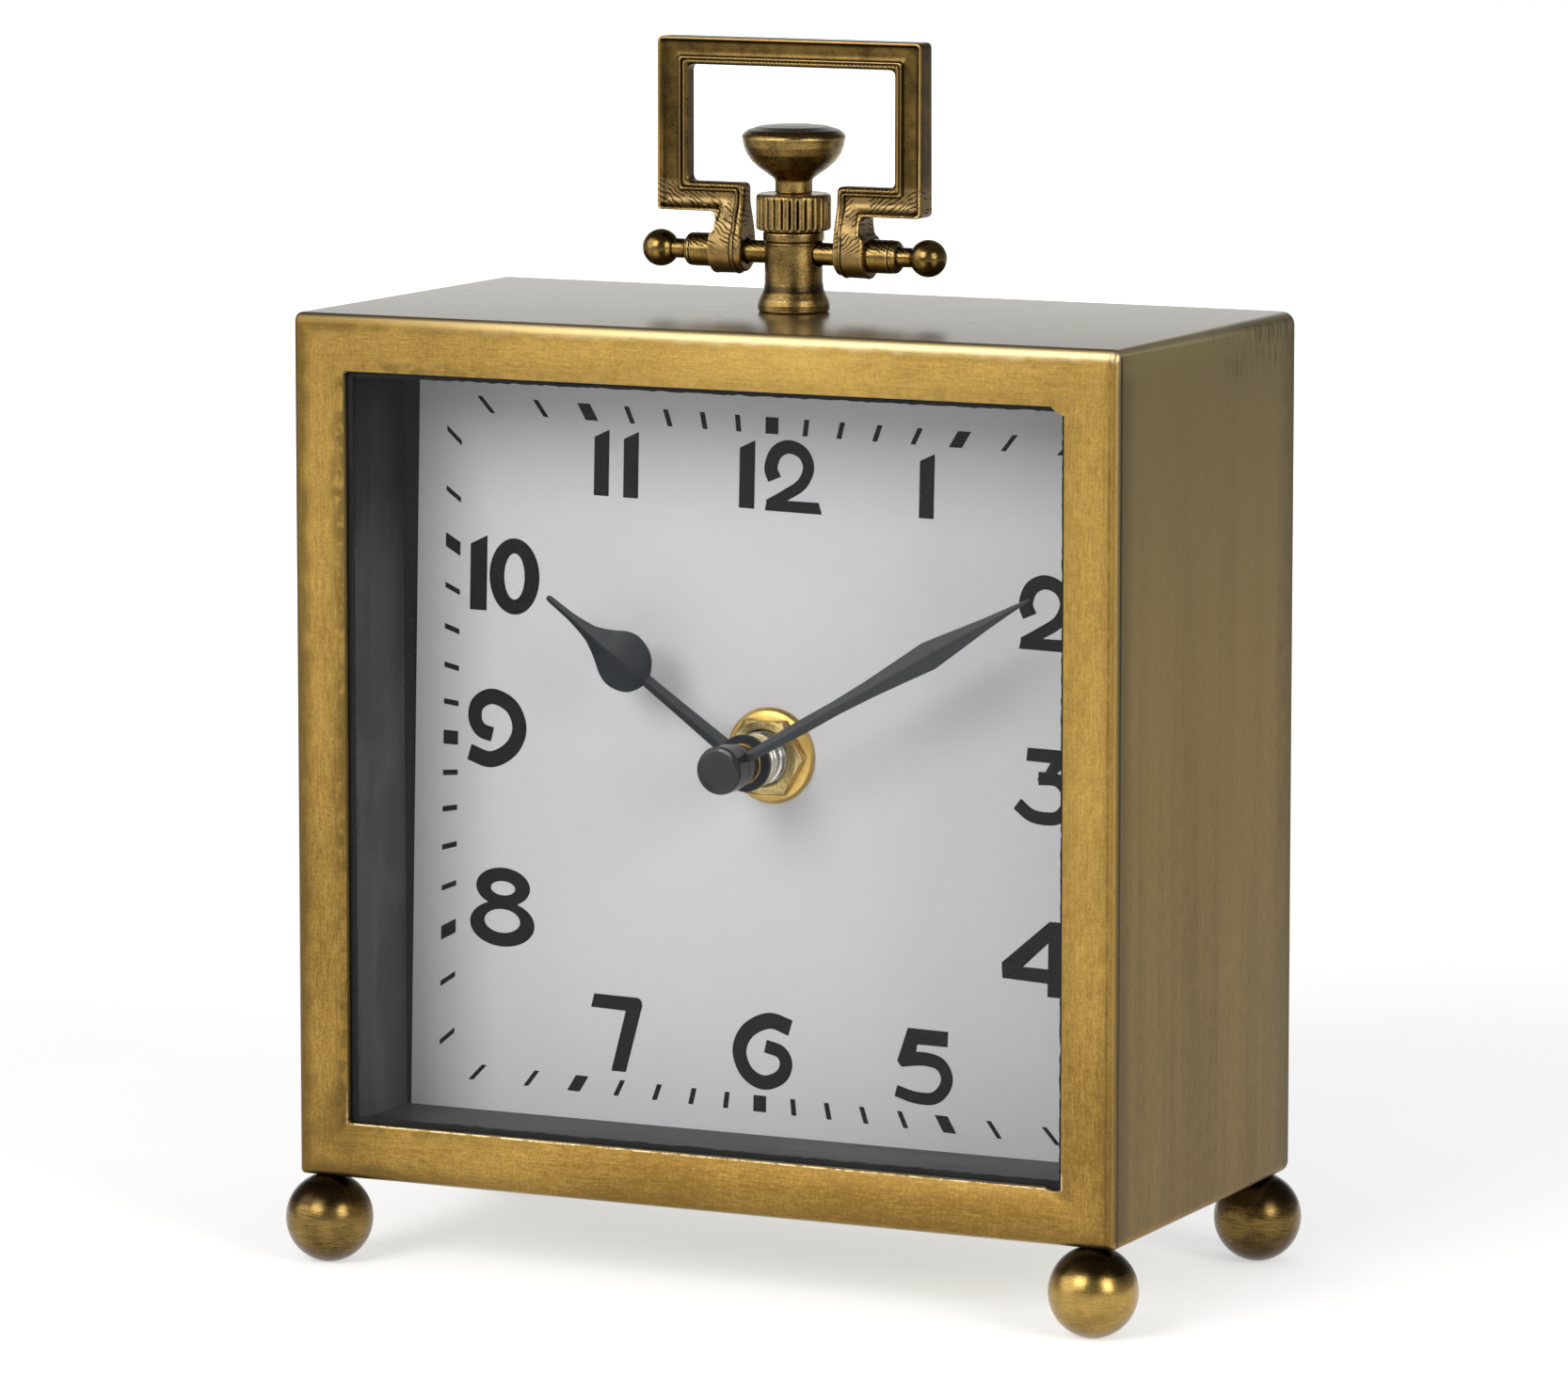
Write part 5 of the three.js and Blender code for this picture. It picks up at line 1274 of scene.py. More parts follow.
# %% Handle
def ear_skin(end):
    """The ear: the front half of the leg's last section, turned half way about the crossbar."""
    half_profile = [(x, -y) for x, y, z in end[:len(section_front)]]
    (first, first_depth), (last, last_depth) = half_profile[0], half_profile[-1]
    half_profile = [(first, 0.0), (first, first_depth / 2)] + half_profile + [(last, last_depth / 2), (last, 0.0)]
    ear = [
        [(x, -r * cos(a), pivot_up - r * sin(a)) for x, r in half_profile]
        for a in (pi * step / 32 for step in range(33))
    ]
    return skin(ear, ring=False)


lines = [station_points(across, turn) for across, depth, turn in section_at(loop_top)]
rows = [
    [(x, section_at(z)[index][1], pivot_up + z) for index, (x, z) in enumerate(station)]
    for station in zip(*lines)
]
handle_parts = [skin(rows), ear_skin(rows[0]), ear_skin(rows[-1])]
handle = together("moulded_handle", handle_parts, handle_bronze, 38)
settle(bored(handle, rod_bore(14)), "handle", "fittings_bronze", "handle")

# %% [markdown]
# The milled bead is a row of tiny pips along the inner edge of the level bars, on both faces. Pips
# along a path are Geometry Nodes work: the path becomes a curve, the curve becomes evenly spaced
# points, and each point carries one low pip.

# %% Milled bead of the handle
pips, pips_in = new_tree("row_of_pips", ("Spacing", "Float"), ("Radius", "Float"))
pip_curve = pips.node("GeometryNodeMeshToCurve", None, {"Mesh": pips_in["Geometry"]})
pip_points = pips.node(
    "GeometryNodeCurveToPoints", {"mode": "LENGTH"}, {"Curve": pip_curve, "Length": pips_in["Spacing"]},
)
pip_ball = pips.node("GeometryNodeMeshIcoSphere", None, {"Radius": pips_in["Radius"], "Subdivisions": 2})
pip_row = pips.node("GeometryNodeInstanceOnPoints", None, {"Points": pip_points, "Instance": pip_ball})
end_tree(pips, pip_row, pips_in["Finish"])

bead_across, bead_below, bead_corner = 0.885, 0.56, 0.8
pip_spacing, pip_radius = 0.62, 0.27
bead_path = station_points(bead_across, bead_corner)
bead_points, bead_edges = [], []
for face in (-1, 1):
    start = len(bead_points)
    for point in bead_path:
        if point.y > arm_under:
            depth = bar_half * leg_depth(point.y) - bead_below
            bead_points.append(Vector((point.x, face * depth, pivot_up + point.y)) * mm)
    level = [abs(b.z - a.z) < 0.3 * abs(b.x - a.x) for a, b in zip(bead_points[start:], bead_points[start + 1:])]
    bead_edges += [(start + i, start + i + 1) for i, is_level in enumerate(level) if is_level]
bead = seeded("milled_bead", bead_points, bead_edges)
grown(bead, pips, {"Spacing": pip_spacing * mm, "Radius": pip_radius * mm, "Finish": handle_bronze}, 60)
settle(bead, "handle", "fittings_bronze")

# %% [markdown]
# ## The gasket
#
# A thin black gasket holds the pane off the frame, and its hand-cut inner edge shows all round
# the window, a little ragged. Noise moves its inner edge by a tenth of a millimetre or two.

# %% Gasket
gasket_low, gasket_high = corners_of("glass_gasket")
gasket_reveal = 0.75
points_a_side = 150
gasket_bites = ((0.9, 3.0, 0.16), (2.6, 7.0, 0.1))  # scale of the noise, its shift and its size


def gasket_loop(half_x, half_z, ragged, y):
    """Points round a rectangle, the same number for every loop, moved inwards by noise if ragged."""
    points = []
    turns = ((1, -1), (1, 1), (-1, 1), (-1, -1), (1, -1))
    for (ax, az), (bx, bz) in zip(turns, turns[1:]):
        start, end = Vector((ax * half_x, az * half_z)), Vector((bx * half_x, bz * half_z))
        inwards = -Vector((ax + bx, az + bz)).normalized()
        for step in range(points_a_side):
            t = step / points_a_side
            here = start.lerp(end, t)
            bite = 0
            for scale, shift, size in gasket_bites:
                bite += noise.noise(Vector((here.x * scale, here.y * scale, shift))) * size
            near_corner = min(t, 1 - t) * points_a_side / 4
            moved = here + inwards * bite * ragged * min(near_corner, 1)
            points.append((moved.x, y, case_middle + moved.y))
    return points


gasket_out = gasket_high.x, gasket_high.z - case_middle
gasket_in = window_half.x - gasket_reveal, window_half.z - gasket_reveal
gasket_rings = [
    gasket_loop(*gasket_out, 0, gasket_high.y), gasket_loop(*gasket_out, 0, gasket_low.y),
    gasket_loop(*gasket_in, 1, gasket_low.y), gasket_loop(*gasket_in, 1, gasket_high.y),
]
gasket = formed("ragged_gasket", *skin(gasket_rings, loop=True), rubber, 40)
settle(gasket, "case", "rubber", "glass_gasket")

# %% [markdown]
# ## Dial marks
#
# The dial's sixty marks follow a rule: each lies on the ray of its minute, between two
# rectangles, and its ends run along the band. Geometry Nodes lay them out from the size of the
# band. A line of sixty points carries one square each, and the tree then moves the squares'
# corners on to the rays. Every fifth mark is a block. The ink is its own thin layer on the
# paper, so the paper's finish stays plain.

# %% Marks
print_centre = Vector((-0.92, 75.05))
print_turn = radians(1.15)
ink_height = 0.02
ink_y = corners_of("dial_paper")[0].y - ink_height

marks, marks_in = new_tree(
    "dial_marks", ("Count", "Int"), ("Band low", "Float"), ("Band high", "Float"),
    ("Side low", "Float"), ("Side high", "Float"), ("Block", "Float"), ("Tick", "Float"),
)
mark_line = marks.node("GeometryNodeMeshLine", None, {"Count": marks_in["Count"], "Offset": (0.0, 0.0, 10.0)})
mark_square = marks.node(
    "GeometryNodeMeshGrid", None, {"Size X": 1.0, "Size Y": 1.0, "Vertices X": 2, "Vertices Y": 2},
)
mark_copies = marks.node("GeometryNodeInstanceOnPoints", None, {"Points": mark_line, "Instance": mark_square})
mark_squares = marks.node("GeometryNodeRealizeInstances", None, {0: mark_copies})
across, outward, ladder = marks.split(marks.node("GeometryNodeInputPosition"))
minute = (ladder / 10).maths("ROUND")
angle = minute * (2 * pi) / marks_in["Count"]
sine, cosine = angle.maths("SINE"), angle.maths("COSINE")
fifth = (minute / 5).maths("FRACT")
hour_mark = (1 - fifth.over(0.01)).most(fifth.over(0.99))
ratio = marks_in["Side high"] / marks_in["Band high"]
at_side = (abs(sine) / ratio).over(abs(cosine) * 1.0001)
width = marks.choose(hour_mark, marks_in["Tick"], marks_in["Block"])
reach = outward + 0.5
level_top = marks.choose(reach, marks_in["Band low"], marks_in["Band high"]) * cosine.maths("SIGN")
level_side = marks.choose(reach, marks_in["Side low"], marks_in["Side high"]) * sine.maths("SIGN")
safe_cosine = marks.choose(at_side, cosine, 1.0)
safe_sine = marks.choose(at_side, 1.0, sine)
mark_x = marks.choose(at_side, level_top * sine / safe_cosine * ratio + across * width, level_side)
mark_z = marks.choose(at_side, level_top, level_side * cosine / safe_sine / ratio + across * width)
mark_set = marks.node(
    "GeometryNodeSetPosition", None,
    {"Geometry": mark_squares, "Position": marks.vector(mark_x * mm, 0.0, mark_z * mm)},
)
end_tree(marks, mark_set, marks_in["Finish"])


def printed(piece):
    """Turns and moves flat ink on to the paper: the print sits a little askew."""
    turn = Matrix.Rotation(print_turn, 4, "Y")
    place = Matrix.Translation(Vector((print_centre.x, ink_y, print_centre.y)) * mm)
    piece.data.transform(place @ turn)
    shape = bmesh.new()
    shape.from_mesh(piece.data)
    flipped = [face for face in shape.faces if face.normal.y > 0]
    bmesh.ops.reverse_faces(shape, faces=flipped)
    shape.to_mesh(piece.data)
    shape.free()
    return piece


mark_piece = seeded("dial_marks", [(0, 0, 0)])
grown(mark_piece, marks, {
    "Count": 60, "Band low": 49.15, "Band high": 51.6, "Side low": 51.1, "Side high": 53.57,
    "Block": 2.1, "Tick": 0.82, "Finish": ink,
})
settle(printed(mark_piece), "case", "paper")

# %% [markdown]
# ## Numerals
#
# The numerals are drawn as a sign painter would: each is a few strokes of a broad pen, some
# straight and some round. A font would be quicker but has none of this hand. A numeral is one
# unit high here and is scaled and placed on the paper. Strokes overlap, so each lies a few
# microns above the one before.

# %% Numerals
pen = 0.212
hoop_points = 40
ink_layer = 0.003


def smooth_path(points, steps=6):
    """A Catmull-Rom curve through the points."""
    flat = [Vector(point) for point in points]
    flat = [2 * flat[0] - flat[1], *flat, 2 * flat[-1] - flat[-2]]
    path = []
    for a, b, c, d in zip(flat, flat[1:], flat[2:], flat[3:]):
        for t in (step / steps for step in range(steps)):
            square, cube = (2 * a - 5 * b + 4 * c - d) * t * t, (3 * b - a - 3 * c + d) * t ** 3
            path.append(0.5 * (2 * b + (c - a) * t + square + cube))
    return path + [flat[-2]]


def stroke(*points, nib=None, end_nib=None):
    """A round stroke of the pen, as a band of quads."""
    path = smooth_path(points)
    left, right = [], []
    for i, here in enumerate(path):
        ahead = path[min(i + 1, len(path) - 1)] - path[max(i - 1, 0)]
        normal = Vector((-ahead.y, ahead.x)).normalized()
        share = i / (len(path) - 1)
        half = ((nib or pen) * (1 - share) + (end_nib or nib or pen) * share) / 2
        left.append(here + normal * half)
        right.append(here - normal * half)
    return left + right, [(i, i + 1, len(path) + i + 1, len(path) + i) for i in range(len(path) - 1)]


def bar_of(*corners):
    """A straight-sided stroke, given by its corners."""
    return [Vector(corner) for corner in corners], [tuple(range(len(corners)))]


def hoop(centre, outer, inner, inner_drop=0.0):
    """A closed round stroke between two ellipses."""
    rim = [2 * pi * i / hoop_points for i in range(hoop_points)]
    middle = Vector(centre)
    points = [middle + Vector((outer[0] * cos(a), outer[1] * sin(a))) for a in rim]
    points += [middle + Vector((inner[0] * cos(a), inner[1] * sin(a) + inner_drop)) for a in rim]
    following = [*range(1, hoop_points), 0]
    return points, [(i, j, hoop_points + j, hoop_points + i) for i, j in enumerate(following)]


glyph_strokes = {
    "0": [hoop((0.365, 0.5), (0.37, 0.505), (0.15, 0.305))],
    "1": [bar_of((0, 0), (0.25, 0), (0.25, 1), (0, 0.875))],
    "2": [
        stroke((0.165, 0.44), (0.105, 0.6), (0.185, 0.815), (0.38, 0.906), (0.59, 0.83), (0.68, 0.63),
               (0.58, 0.4), (0.34, 0.235), (0.07, 0.08), end_nib=0.15),
        bar_of((0.02, 0), (0.895, 0), (0.845, 0.162), (0.05, 0.155)),
    ],
    "3": [
        bar_of((0.16, 0.825), (0.8, 0.815), (0.82, 0.93), (0.8, 1.0), (0.177, 1.0)),
        bar_of((0.5, 0.815), (0.82, 0.878), (0.595, 0.685), (0.385, 0.69), (0.322, 0.59), (0.36, 0.55)),
        stroke((0.34, 0.605), (0.6, 0.605), (0.745, 0.47), (0.765, 0.29), (0.64, 0.12), (0.45, 0.083),
               (0.24, 0.115), (0.045, 0.25), nib=0.175),
    ],
    "4": [
        bar_of((0.014, 0.193), (0.31, 0.37), (0.655, 0.706), (0.86, 1.0), (0.673, 1.0), (0, 0.399)),
        bar_of((0.014, 0.193), (0.664, 0.175), (0.97, 0.175), (0.97, 0.366), (0.0, 0.37)),
        bar_of((0.664, 0), (0.862, 0), (0.862, 1), (0.66, 0.95)),
    ],
    "5": [
        bar_of((0.181, 1), (0.758, 1), (0.752, 0.797), (0.15, 0.79)),
        bar_of((0.181, 1), (0.323, 0.79), (0.309, 0.70), (0.3, 0.51), (0.103, 0.476), (0.038, 0.552)),
        stroke((0.2, 0.59), (0.42, 0.612), (0.64, 0.57), (0.75, 0.41), (0.71, 0.235), (0.56, 0.105),
               (0.3, 0.095), (0.03, 0.158), nib=0.185, end_nib=0.155),
    ],
    "6": [stroke(
        (0.81, 0.838), (0.51, 0.905), (0.21, 0.75), (0.092, 0.48), (0.2, 0.21), (0.44, 0.096),
        (0.68, 0.19), (0.758, 0.367), (0.675, 0.515), (0.459, 0.572), end_nib=0.17,
    )],
    "7": [
        bar_of((0, 0.818), (0.55, 0.81), (0.75, 0.9), (0.735, 0.965), (0.69, 1), (0.044, 1)),
        bar_of((0.31, 0), (0.524, 0), (0.752, 0.911), (0.51, 0.82)),
    ],
    "8": [
        hoop((0.455, 0.29), (0.455, 0.29), (0.25, 0.15), 0.035),
        hoop((0.46, 0.755), (0.38, 0.245), (0.17, 0.09), -0.015),
    ],
    "9": [stroke(
        (0.06, 0.162), (0.375, 0.09), (0.66, 0.25), (0.775, 0.52), (0.66, 0.79), (0.39, 0.902),
        (0.18, 0.8), (0.135, 0.61), (0.22, 0.46), (0.39, 0.41), end_nib=0.19,
    )],
}
# numeral, left edge, foot and height on the paper
numerals = [
    ("1", -5.15, 37.95, 10.1), ("2", -1.15, 37.84, 10.6), ("1", 23.9, 38.5, 9.5), ("2", 40.04, 20.65, 11.0),
    ("3", 40.03, -4.75, 11.1), ("4", 38.63, -29.94, 11.1), ("5", 21.77, -47.93, 11.3),
    ("6", -4.56, -48.26, 11.56), ("7", -28.17, -47.88, 11.4), ("8", -48.69, -30.89, 11.95),
    ("9", -49.87, -3.8, 11.7), ("1", -49.4, 19.55, 11.3), ("0", -46.12, 19.34, 11.32),
    ("1", -29.0, 38.1, 9.9), ("1", -24.15, 38.1, 9.9),
]
numeral_points, numeral_faces = [], []
for glyph, left, foot, height in numerals:
    for layer, (points, faces) in enumerate(glyph_strokes[glyph]):
        start = len(numeral_points)
        numeral_points += [
            Vector((left + p.x * height, -ink_layer * layer, foot + p.y * height)) * mm for p in points
        ]
        for face in faces:
            parts = [range(4)]
            if len(face) > 4:
                parts = tessellate_polygon([[points[i].to_3d() for i in face]])
            numeral_faces += [tuple(start + face[i] for i in part) for part in parts]
numeral_piece = seeded("dial_numerals", numeral_points, (), numeral_faces)
numeral_piece.data.materials.append(ink)
settle(printed(numeral_piece), "case", "paper")

# %% [markdown]
# ## Hands
#
# The hands are stamped from thin sheet with a ridge down the middle, and the ridge is what makes
# them legible: one flank catches the light and the other stays dark. A flat cut-out would lose
# that. Each blade is a row of six points carried along the hand, with the half widths as its
# only table.

# %% Blades
hub_sides, ridge_share = 72, 0.06
hour_angle, minute_angle = 305.1, 60.2


def blade(outline, bearing, back_y, edge, slope, tallest):
    """A ridged strip along a hand: outline is (distance from the shaft, half width)."""
    a = radians(bearing)
    rows = []
    for along, half in outline:
        crest = min(half * slope, tallest)
        ridge = half * ridge_share
        row = [(-half, 0), (-half, edge), (-ridge, edge + crest), (ridge, edge + crest), (half, edge), (half, 0)]
        rows.append([
            (along * sin(a) + u * cos(a), back_y - v, shaft_up + along * cos(a) - u * sin(a)) for u, v in row
        ])
    points, faces = skin(rows)
    count = len(rows[0])
    return points, [*faces, tuple(range(count)), tuple(range(len(points) - count, len(points)))]


def hub(profile):
    """A lathe skin about the hands' shaft, from (radius, y)."""
    turns = [2 * pi * s / hub_sides for s in range(hub_sides)]
    return skin([[(r * cos(a), y, shaft_up + r * sin(a)) for a in turns] for r, y in profile])


hour_low, hour_high = corners_of("hour_hand")
minute_low, minute_high = corners_of("minute_hand")
hour_arm = [(3.2, 1.28), (6, 1.2), (12, 1.06), (19.3, 0.94)]
hour_bulb = smooth_path([
    (19.5, 0.95), (20.0, 2.1), (20.9, 3.3), (22.4, 4.15), (24.3, 4.5), (26.1, 4.0), (28, 2.75),
    (29.5, 1.9), (31.2, 1.2), (34.5, 0.66), (37, 0.54), (39.0, 0.44), (39.4, 0.24),
])
hour_blade = blade(hour_arm + hour_bulb, hour_angle, hour_low.y + 0.5, edge=0.25, slope=0.34, tallest=1.0)
hour_hub_radius, hub_bore = 4.2, 2.85
hub_front, hub_back = hour_low.y, hour_low.y + 0.75
hour_hub = hub(softened([
    (hub_bore, hub_back), (hour_hub_radius, hub_back), (hour_hub_radius, hub_front),
    (hub_bore, hub_front), (hub_bore, hub_back),
], 0.15, 3))
hour_piece = together("ridged_hour_hand", [hour_blade, hour_hub], hour_enamel, 9)
settle(hour_piece, "hour", "black_hands", "hour_hand")

minute_outline = [
    (2.2, 0.72), (4, 0.78), (13, 1.05), (20, 1.05), (26, 1.3), (31, 1.66), (36.7, 2.1), (40, 1.72), (47, 0.86),
    (50.6, 0.54), (54.0, 0.26), (54.85, 0.12),
]
minute_blade = blade(minute_outline, minute_angle, minute_high.y, edge=0.2, slope=0.36, tallest=0.75)
arbor_radius, minute_hub_radius = 1.1, 2.6
minute_hub = hub(softened([
    (arbor_radius, minute_high.y), (minute_hub_radius, minute_high.y), (minute_hub_radius, minute_low.y),
    (arbor_radius, minute_low.y), (arbor_radius, minute_high.y),
], 0.12, 3))
minute_piece = together("ridged_minute_hand", [minute_blade, minute_hub], minute_enamel, 9)
settle(minute_piece, "minute", "black_hands", "minute_hand")

# %% [markdown]
# ## The stack round the shaft
#
# Seen from the front there is a stack of small turned parts: a black cap, a black bush, a brass
# ring, the hour hand's bright grooved collet, a chamfered nut and a domed brass washer. They are
# small, but they sit in the middle of the picture. The chamfer on the nut is the classic one: a
# hexagon cut by a cone.

# %% Cap, bush, ring and collet
cap_low, cap_high = corners_of("hand_cap")
cap_radius = (cap_high.x - cap_low.x) / 2 + 0.35
cap_front = cap_low.y - 0.7
on_shaft("domed_cap", softened([
    (0, cap_front + 0.1),
    *offset_from(cap_radius, cap_front, (-1.1, 0.07), (-0.68, 0), (-0.15, 0.2), (0, 0.55)),
    (cap_radius, cap_high.y), (arbor_radius, cap_high.y), (arbor_radius, cap_low.y + 1.2), (0, cap_low.y + 1.2),
], 0.2, 4), black_gloss, "minute", "black_plastic", "hand_cap")

bush_low, bush_high = corners_of("minute_hand_bush")
bush_wide, bush_narrow = 3.25, 2.05
on_shaft("stepped_bush", softened([
    (arbor_radius, bush_low.y), (bush_wide, bush_low.y), (bush_wide, bush_low.y + 1.7),
    (bush_narrow, bush_low.y + 1.95), (bush_narrow, bush_high.y), (arbor_radius, bush_high.y),
    (arbor_radius, bush_low.y),
], 0.12, 3), black_gloss, "minute", "black_plastic", "minute_hand_bush")

ring_front, ring_bore, ring_radius = bush_high.y + 0.12, hub_bore - 0.1, 3.1
on_shaft("brass_collar_ring", softened([
    (ring_bore, hub_front + 0.35), (ring_bore, ring_front + 0.3),
    *offset_from(ring_radius, ring_front, (-0.85, 0.12), (-0.65, 0), (-0.15, 0), (0, 0.2)),
    (ring_radius, hub_front - 0.02), (ring_bore, hub_front - 0.02),
], 0.08, 2), ring_brass, "hour", "polished_brass")

collet_radius, collet_bands = 3.9, 3
collet_front, collet_back = hub_back + 0.02, hour_high.y
collet_profile = [(hub_bore, collet_front)]
for band in range(collet_bands):
    start = collet_front + band * (collet_back - hub_back) / collet_bands
    end = start + (collet_back - hub_back) / collet_bands
    collet_profile += offset_from(collet_radius, start, (-0.16, 0), (0, 0.12))
    collet_profile += offset_from(collet_radius, end, (0, -0.12), (-0.16, -0.02))
collet_profile += [(hub_bore, collet_back), (hub_bore, collet_front)]
on_shaft("bright_collet", softened(collet_profile, 0.06, 2), nickel, "hour", "nickel")

# %% Nut, washer and threaded bushing
nut_low, nut_high = corners_of("dial_nut")
flat_radius = (nut_high.z - nut_low.z) / 2
nut_bore, nut_steps, cone_slope = 4.05, 14, 1.75


def hexagon(radius, along, angle):
    """The hexagon, cut by a cone at the front so that its corners are rounded off."""
    if radius < flat_radius - 0.01:
        return radius
    flat = flat_radius / cos(angle % (pi / 3) - pi / 6)
    cone = flat_radius - 0.1 + (along - nut_low.y) * cone_slope
    return min(flat, cone)


nut_wall = [
    (flat_radius, nut_low.y + (nut_high.y - nut_low.y) * (step / nut_steps) ** 1.6) for step in range(nut_steps + 1)
]
on_shaft("chamfered_nut", [
    (nut_bore, nut_low.y + 0.25), (nut_bore + 0.3, nut_low.y), (flat_radius - 0.2, nut_low.y),
    *nut_wall, (nut_bore, nut_high.y), (nut_bore, nut_low.y + 0.25),
], pale_brass, "case", "polished_brass", "dial_nut", sides=144, radius_at=hexagon, crisp=24)

washer_low, washer_high = corners_of("dial_washer")
washer_radius = (washer_high.x - washer_low.x) / 2
on_shaft("domed_washer", softened([
    (nut_bore, washer_high.y), (nut_bore, washer_low.y),
    *offset_from(washer_radius, washer_low.y, (-1.9, 0.02), (-1.1, 0.14), (-0.45, 0.42), (0, 0.95)),
    (washer_radius - 0.1, washer_high.y), (nut_bore, washer_high.y),
], 0.35, 4), polished_brass, "case", "polished_brass", "dial_washer")

bushing_low, bushing_high = corners_of("threaded_bushing")
thread_radius, thread_pitch, thread_depth = 3.95, 0.75, 0.3
thread_end = nut_low.y + 3.2
tube_bore, flange_radius = 2.95, 6.5


def threaded(radius, along, angle):
    """A single-start thread on the front part of the bushing."""
    if abs(radius - thread_radius) > 0.01 or along > thread_end:
        return radius
    turn = (along / thread_pitch - angle / (2 * pi)) % 1
    return radius - thread_depth * abs(2 * turn - 1)


on_shaft("threaded_tube", [
    (tube_bore, bushing_low.y), (thread_radius - 0.35, bushing_low.y),
    *wall(thread_radius, bushing_low.y + 0.15, thread_end + 0.15, 60),
    (thread_radius, bushing_high.y - 1), (flange_radius, bushing_high.y - 1), (flange_radius, bushing_high.y),
    (tube_bore, bushing_high.y), (tube_bore, bushing_low.y),
], nickel, "case", "nickel", "threaded_bushing", radius_at=threaded, crisp=50)

# %% [markdown]
# ## The back
#
# The photograph doesn't show the back, but the part is turned round too. The cell is turned like
# any lathe piece, with its crimped ends. The setting knob gets a knurled rim from the same tree
# that fluted the collar, laid along another axis, and keeps the pinion of its solid. The four
# panel screws are one cross-head screw, put on four points by a tree, each turned by a different
# amount as hands leave them.

# %% Cell and setting knob
cell_radius, cell_pip = (cell_high.z - cell_low.z) / 2, 2.7
cell = turned("wrapped_cell", softened([
    (0, cell_low.x + 0.15), *offset_from(cell_radius, cell_low.x, (-2.2, 0.15), (-1.9, 0), (-0.6, 0), (0, 0.6)),
    *offset_from(cell_radius, cell_high.x, (0, -1.9), (-0.5, -1.35), (-1.4, -1.15)),
    *offset_from(cell_pip, cell_high.x, (0, -1.1), (0, -0.1), (-0.2, 0)), (0, cell_high.x),
], 0.25, 3), wrap_of_cell, axis="x", centre=(0, (cell_low.y + cell_high.y) / 2, (cell_low.z + cell_high.z) / 2))
settle(cell, "case", "cell_wrap", "battery")

knob_low, knob_high = corners_of("set_knob")
knob_radius, knob_flutes = (knob_high.x - knob_low.x) / 2, 36
knob_axis = Vector(((knob_low.x + knob_high.x) / 2, 0, (knob_low.z + knob_high.z) / 2))
knob_disc = corners_of("movement_cover")[1].y + 0.2
knob = turned("knurled_set_knob", [
    (0, knob_disc), (knob_radius - 0.5, knob_disc),
    *wall(knob_radius, knob_disc + 0.35, knob_high.y - 0.45, 8),
    *offset_from(knob_radius, knob_high.y, (-0.35, 0), (-1.3, 0), (-1.8, -0.5)),
    (1.2, knob_high.y - 0.5), (0.8, knob_high.y - 0.8), (0, knob_high.y - 0.8),
], black_plastic, sides=288)
grown(knob, knurl, {
    "Flutes": knob_flutes, "Depth": 0.35 * mm, "Wall radius": (knob_radius - 0.1) * mm, "Low": knob_disc * mm,
    "High": (knob_high.y - 0.1) * mm, "Fade": 0.2 * mm, "Finish": black_plastic,
}, 50)
knob.data.transform(Matrix.Translation(knob_axis * mm) @ Matrix.Rotation(radians(-90), 4, "X"))
pinion = bmesh.new()
pinion.from_mesh(nodes["set_knob"].data)
bmesh.ops.remove_doubles(pinion, verts=pinion.verts, dist=0.001 * mm)
whole = pinion.verts[:] + pinion.edges[:] + pinion.faces[:]
bmesh.ops.bisect_plane(
    pinion, geom=whole, plane_co=(0, (knob_disc + 0.05) * mm, 0), plane_no=(0, 1, 0), clear_outer=True,
)
bmesh.ops.holes_fill(pinion, edges=[edge for edge in pinion.edges if edge.is_boundary])
pinion.from_mesh(knob.data)
pinion.to_mesh(knob.data)
pinion.free()
settle(knob, "knob", "black_plastic", "set_knob")

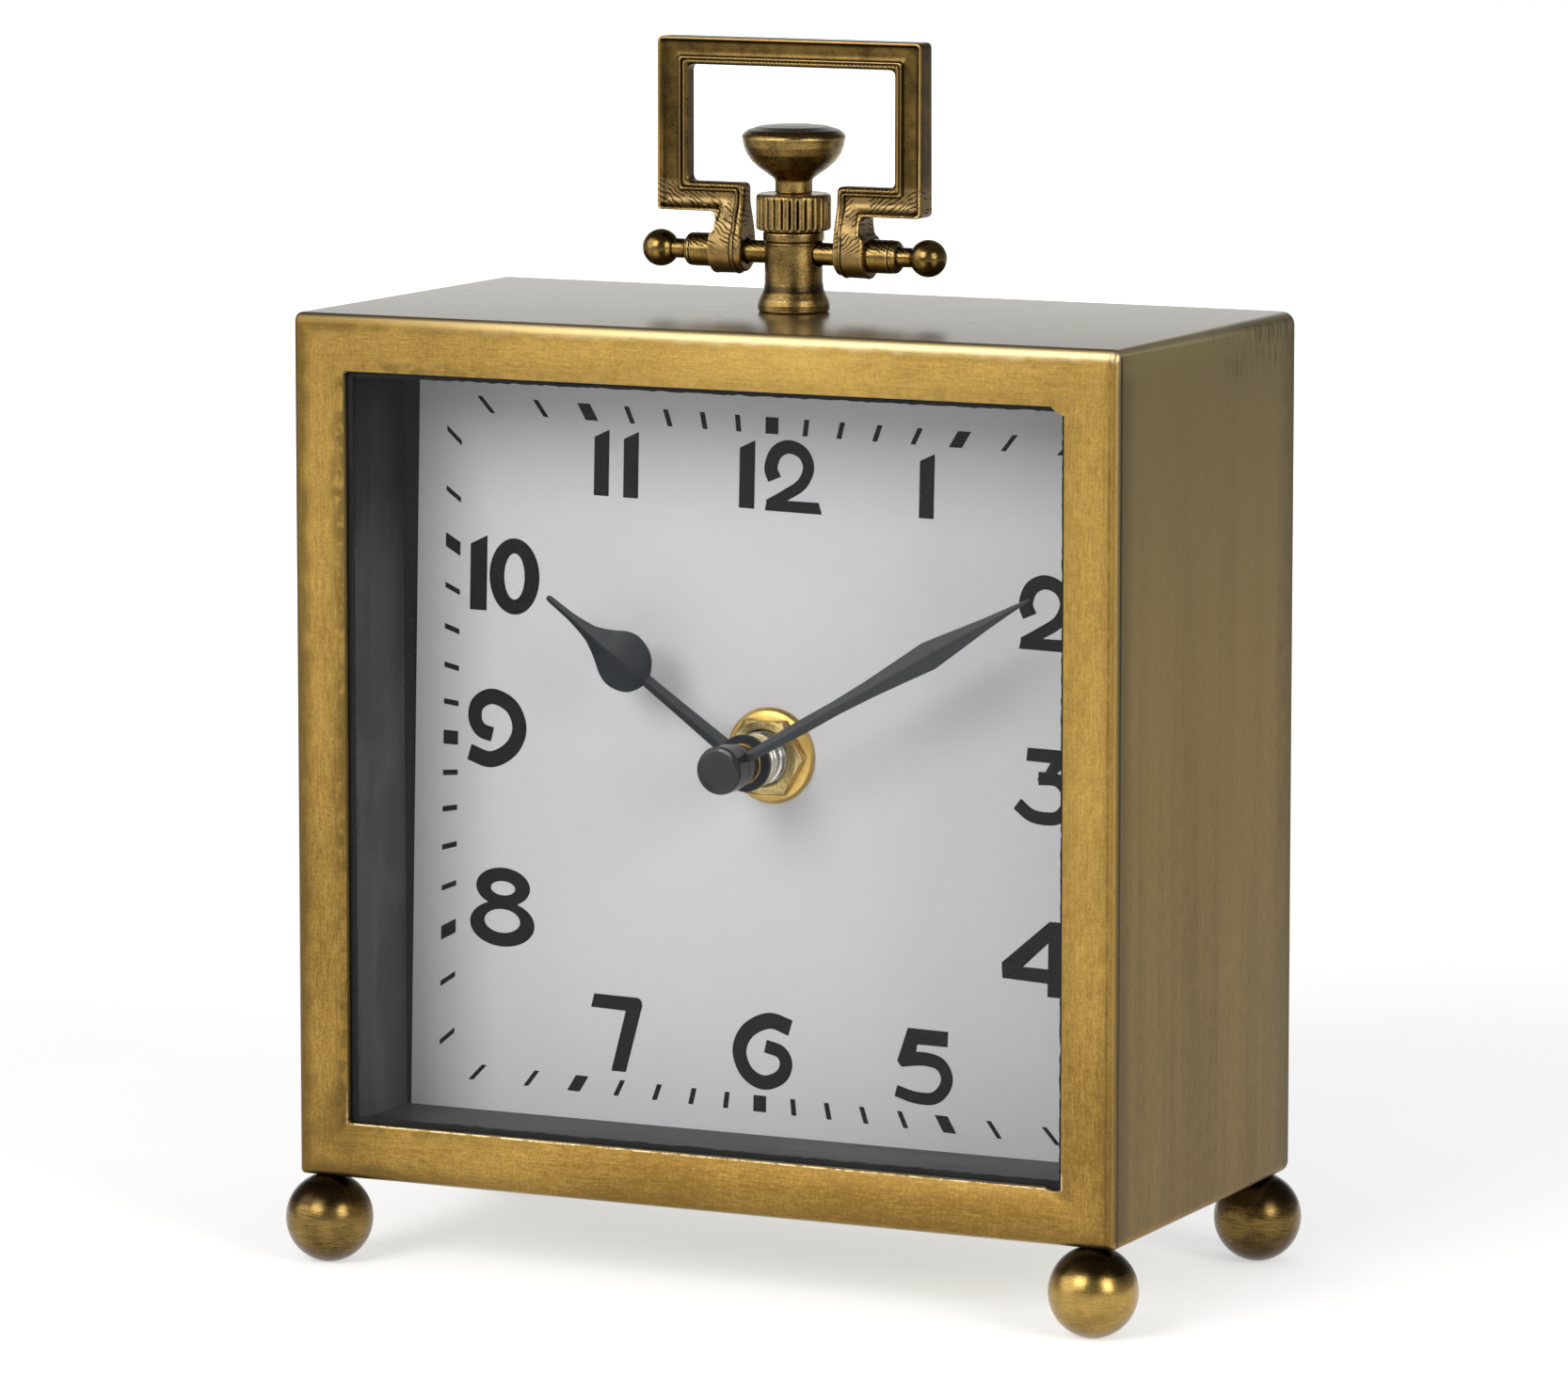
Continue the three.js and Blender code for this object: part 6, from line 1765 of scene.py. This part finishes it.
# %% Panel screws
screw_names = [name for name in nodes if name.startswith("panel_screw_")]
screw_low, screw_high = corners_of(screw_names[0])
screw_head, screw_shank = (screw_high.x - screw_low.x) / 2, 1.45
head_back = corners_of("back_panel")[1].y + 0.1
slot_reach, slot_half, slot_depth = 1.55, 0.27, 0.8
screw = turned("cross_head_screw", softened([
    (0, screw_low.y), (1.2, screw_low.y), (screw_shank, screw_low.y + 0.4), (screw_shank, head_back),
    *offset_from(screw_head, head_back, (-0.1, 0), (0, 0.2), (0, 0.45), (-0.35, 0.95), (-1.1, 1.35)),
    (screw_head - 2.0, screw_high.y), (0, screw_high.y),
], 0.15, 3), zinc_steel, axis="y", sides=48)
quarter = [(slot_reach, slot_half), (slot_half, slot_half), (slot_half, slot_reach)]
quarter_turns = ((1, 0), (0, 1), (-1, 0), (0, -1))
cross = [(x * c - z * s, x * s + z * c) for c, s in quarter_turns for x, z in quarter]
cross_rows = [[(x, y, z) for x, z in cross] for y in (screw_high.y - slot_depth, screw_high.y + 1)]
cross_points, cross_faces = skin(cross_rows)
cross_faces += [tuple(range(12)), tuple(range(23, 11, -1))]
bored(screw, formed("cross_punch", cross_points, cross_faces, zinc_steel))

screws, screws_in = new_tree("screws_on_points", ("Screw", "Object"), ("Seed", "Int"))
one_screw = screws.node("GeometryNodeObjectInfo", None, {"Object": screws_in["Screw"]}, "Geometry")
screw_turn = screws.node("FunctionNodeRandomValue", {"data_type": "FLOAT"}, {3: 2 * pi, "Seed": screws_in["Seed"]}, 1)
screw_copies = screws.node("GeometryNodeInstanceOnPoints", None, {
    "Points": screws_in["Geometry"], "Instance": one_screw, "Rotation": screws.vector(0.0, screw_turn, 0.0),
})
end_tree(screws, screw_copies, screws_in["Finish"])

screw_middles = [(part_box(name)[0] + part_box(name)[1]) / 2 for name in screw_names]
panel_screws = seeded("panel_screws", [(middle.x, 0, middle.z) for middle in screw_middles])
grown(panel_screws, screws, {"Screw": screw, "Seed": 4, "Finish": zinc_steel})
bpy.data.objects.remove(screw)
settle(panel_screws, "case", "plated_steel", *screw_names)
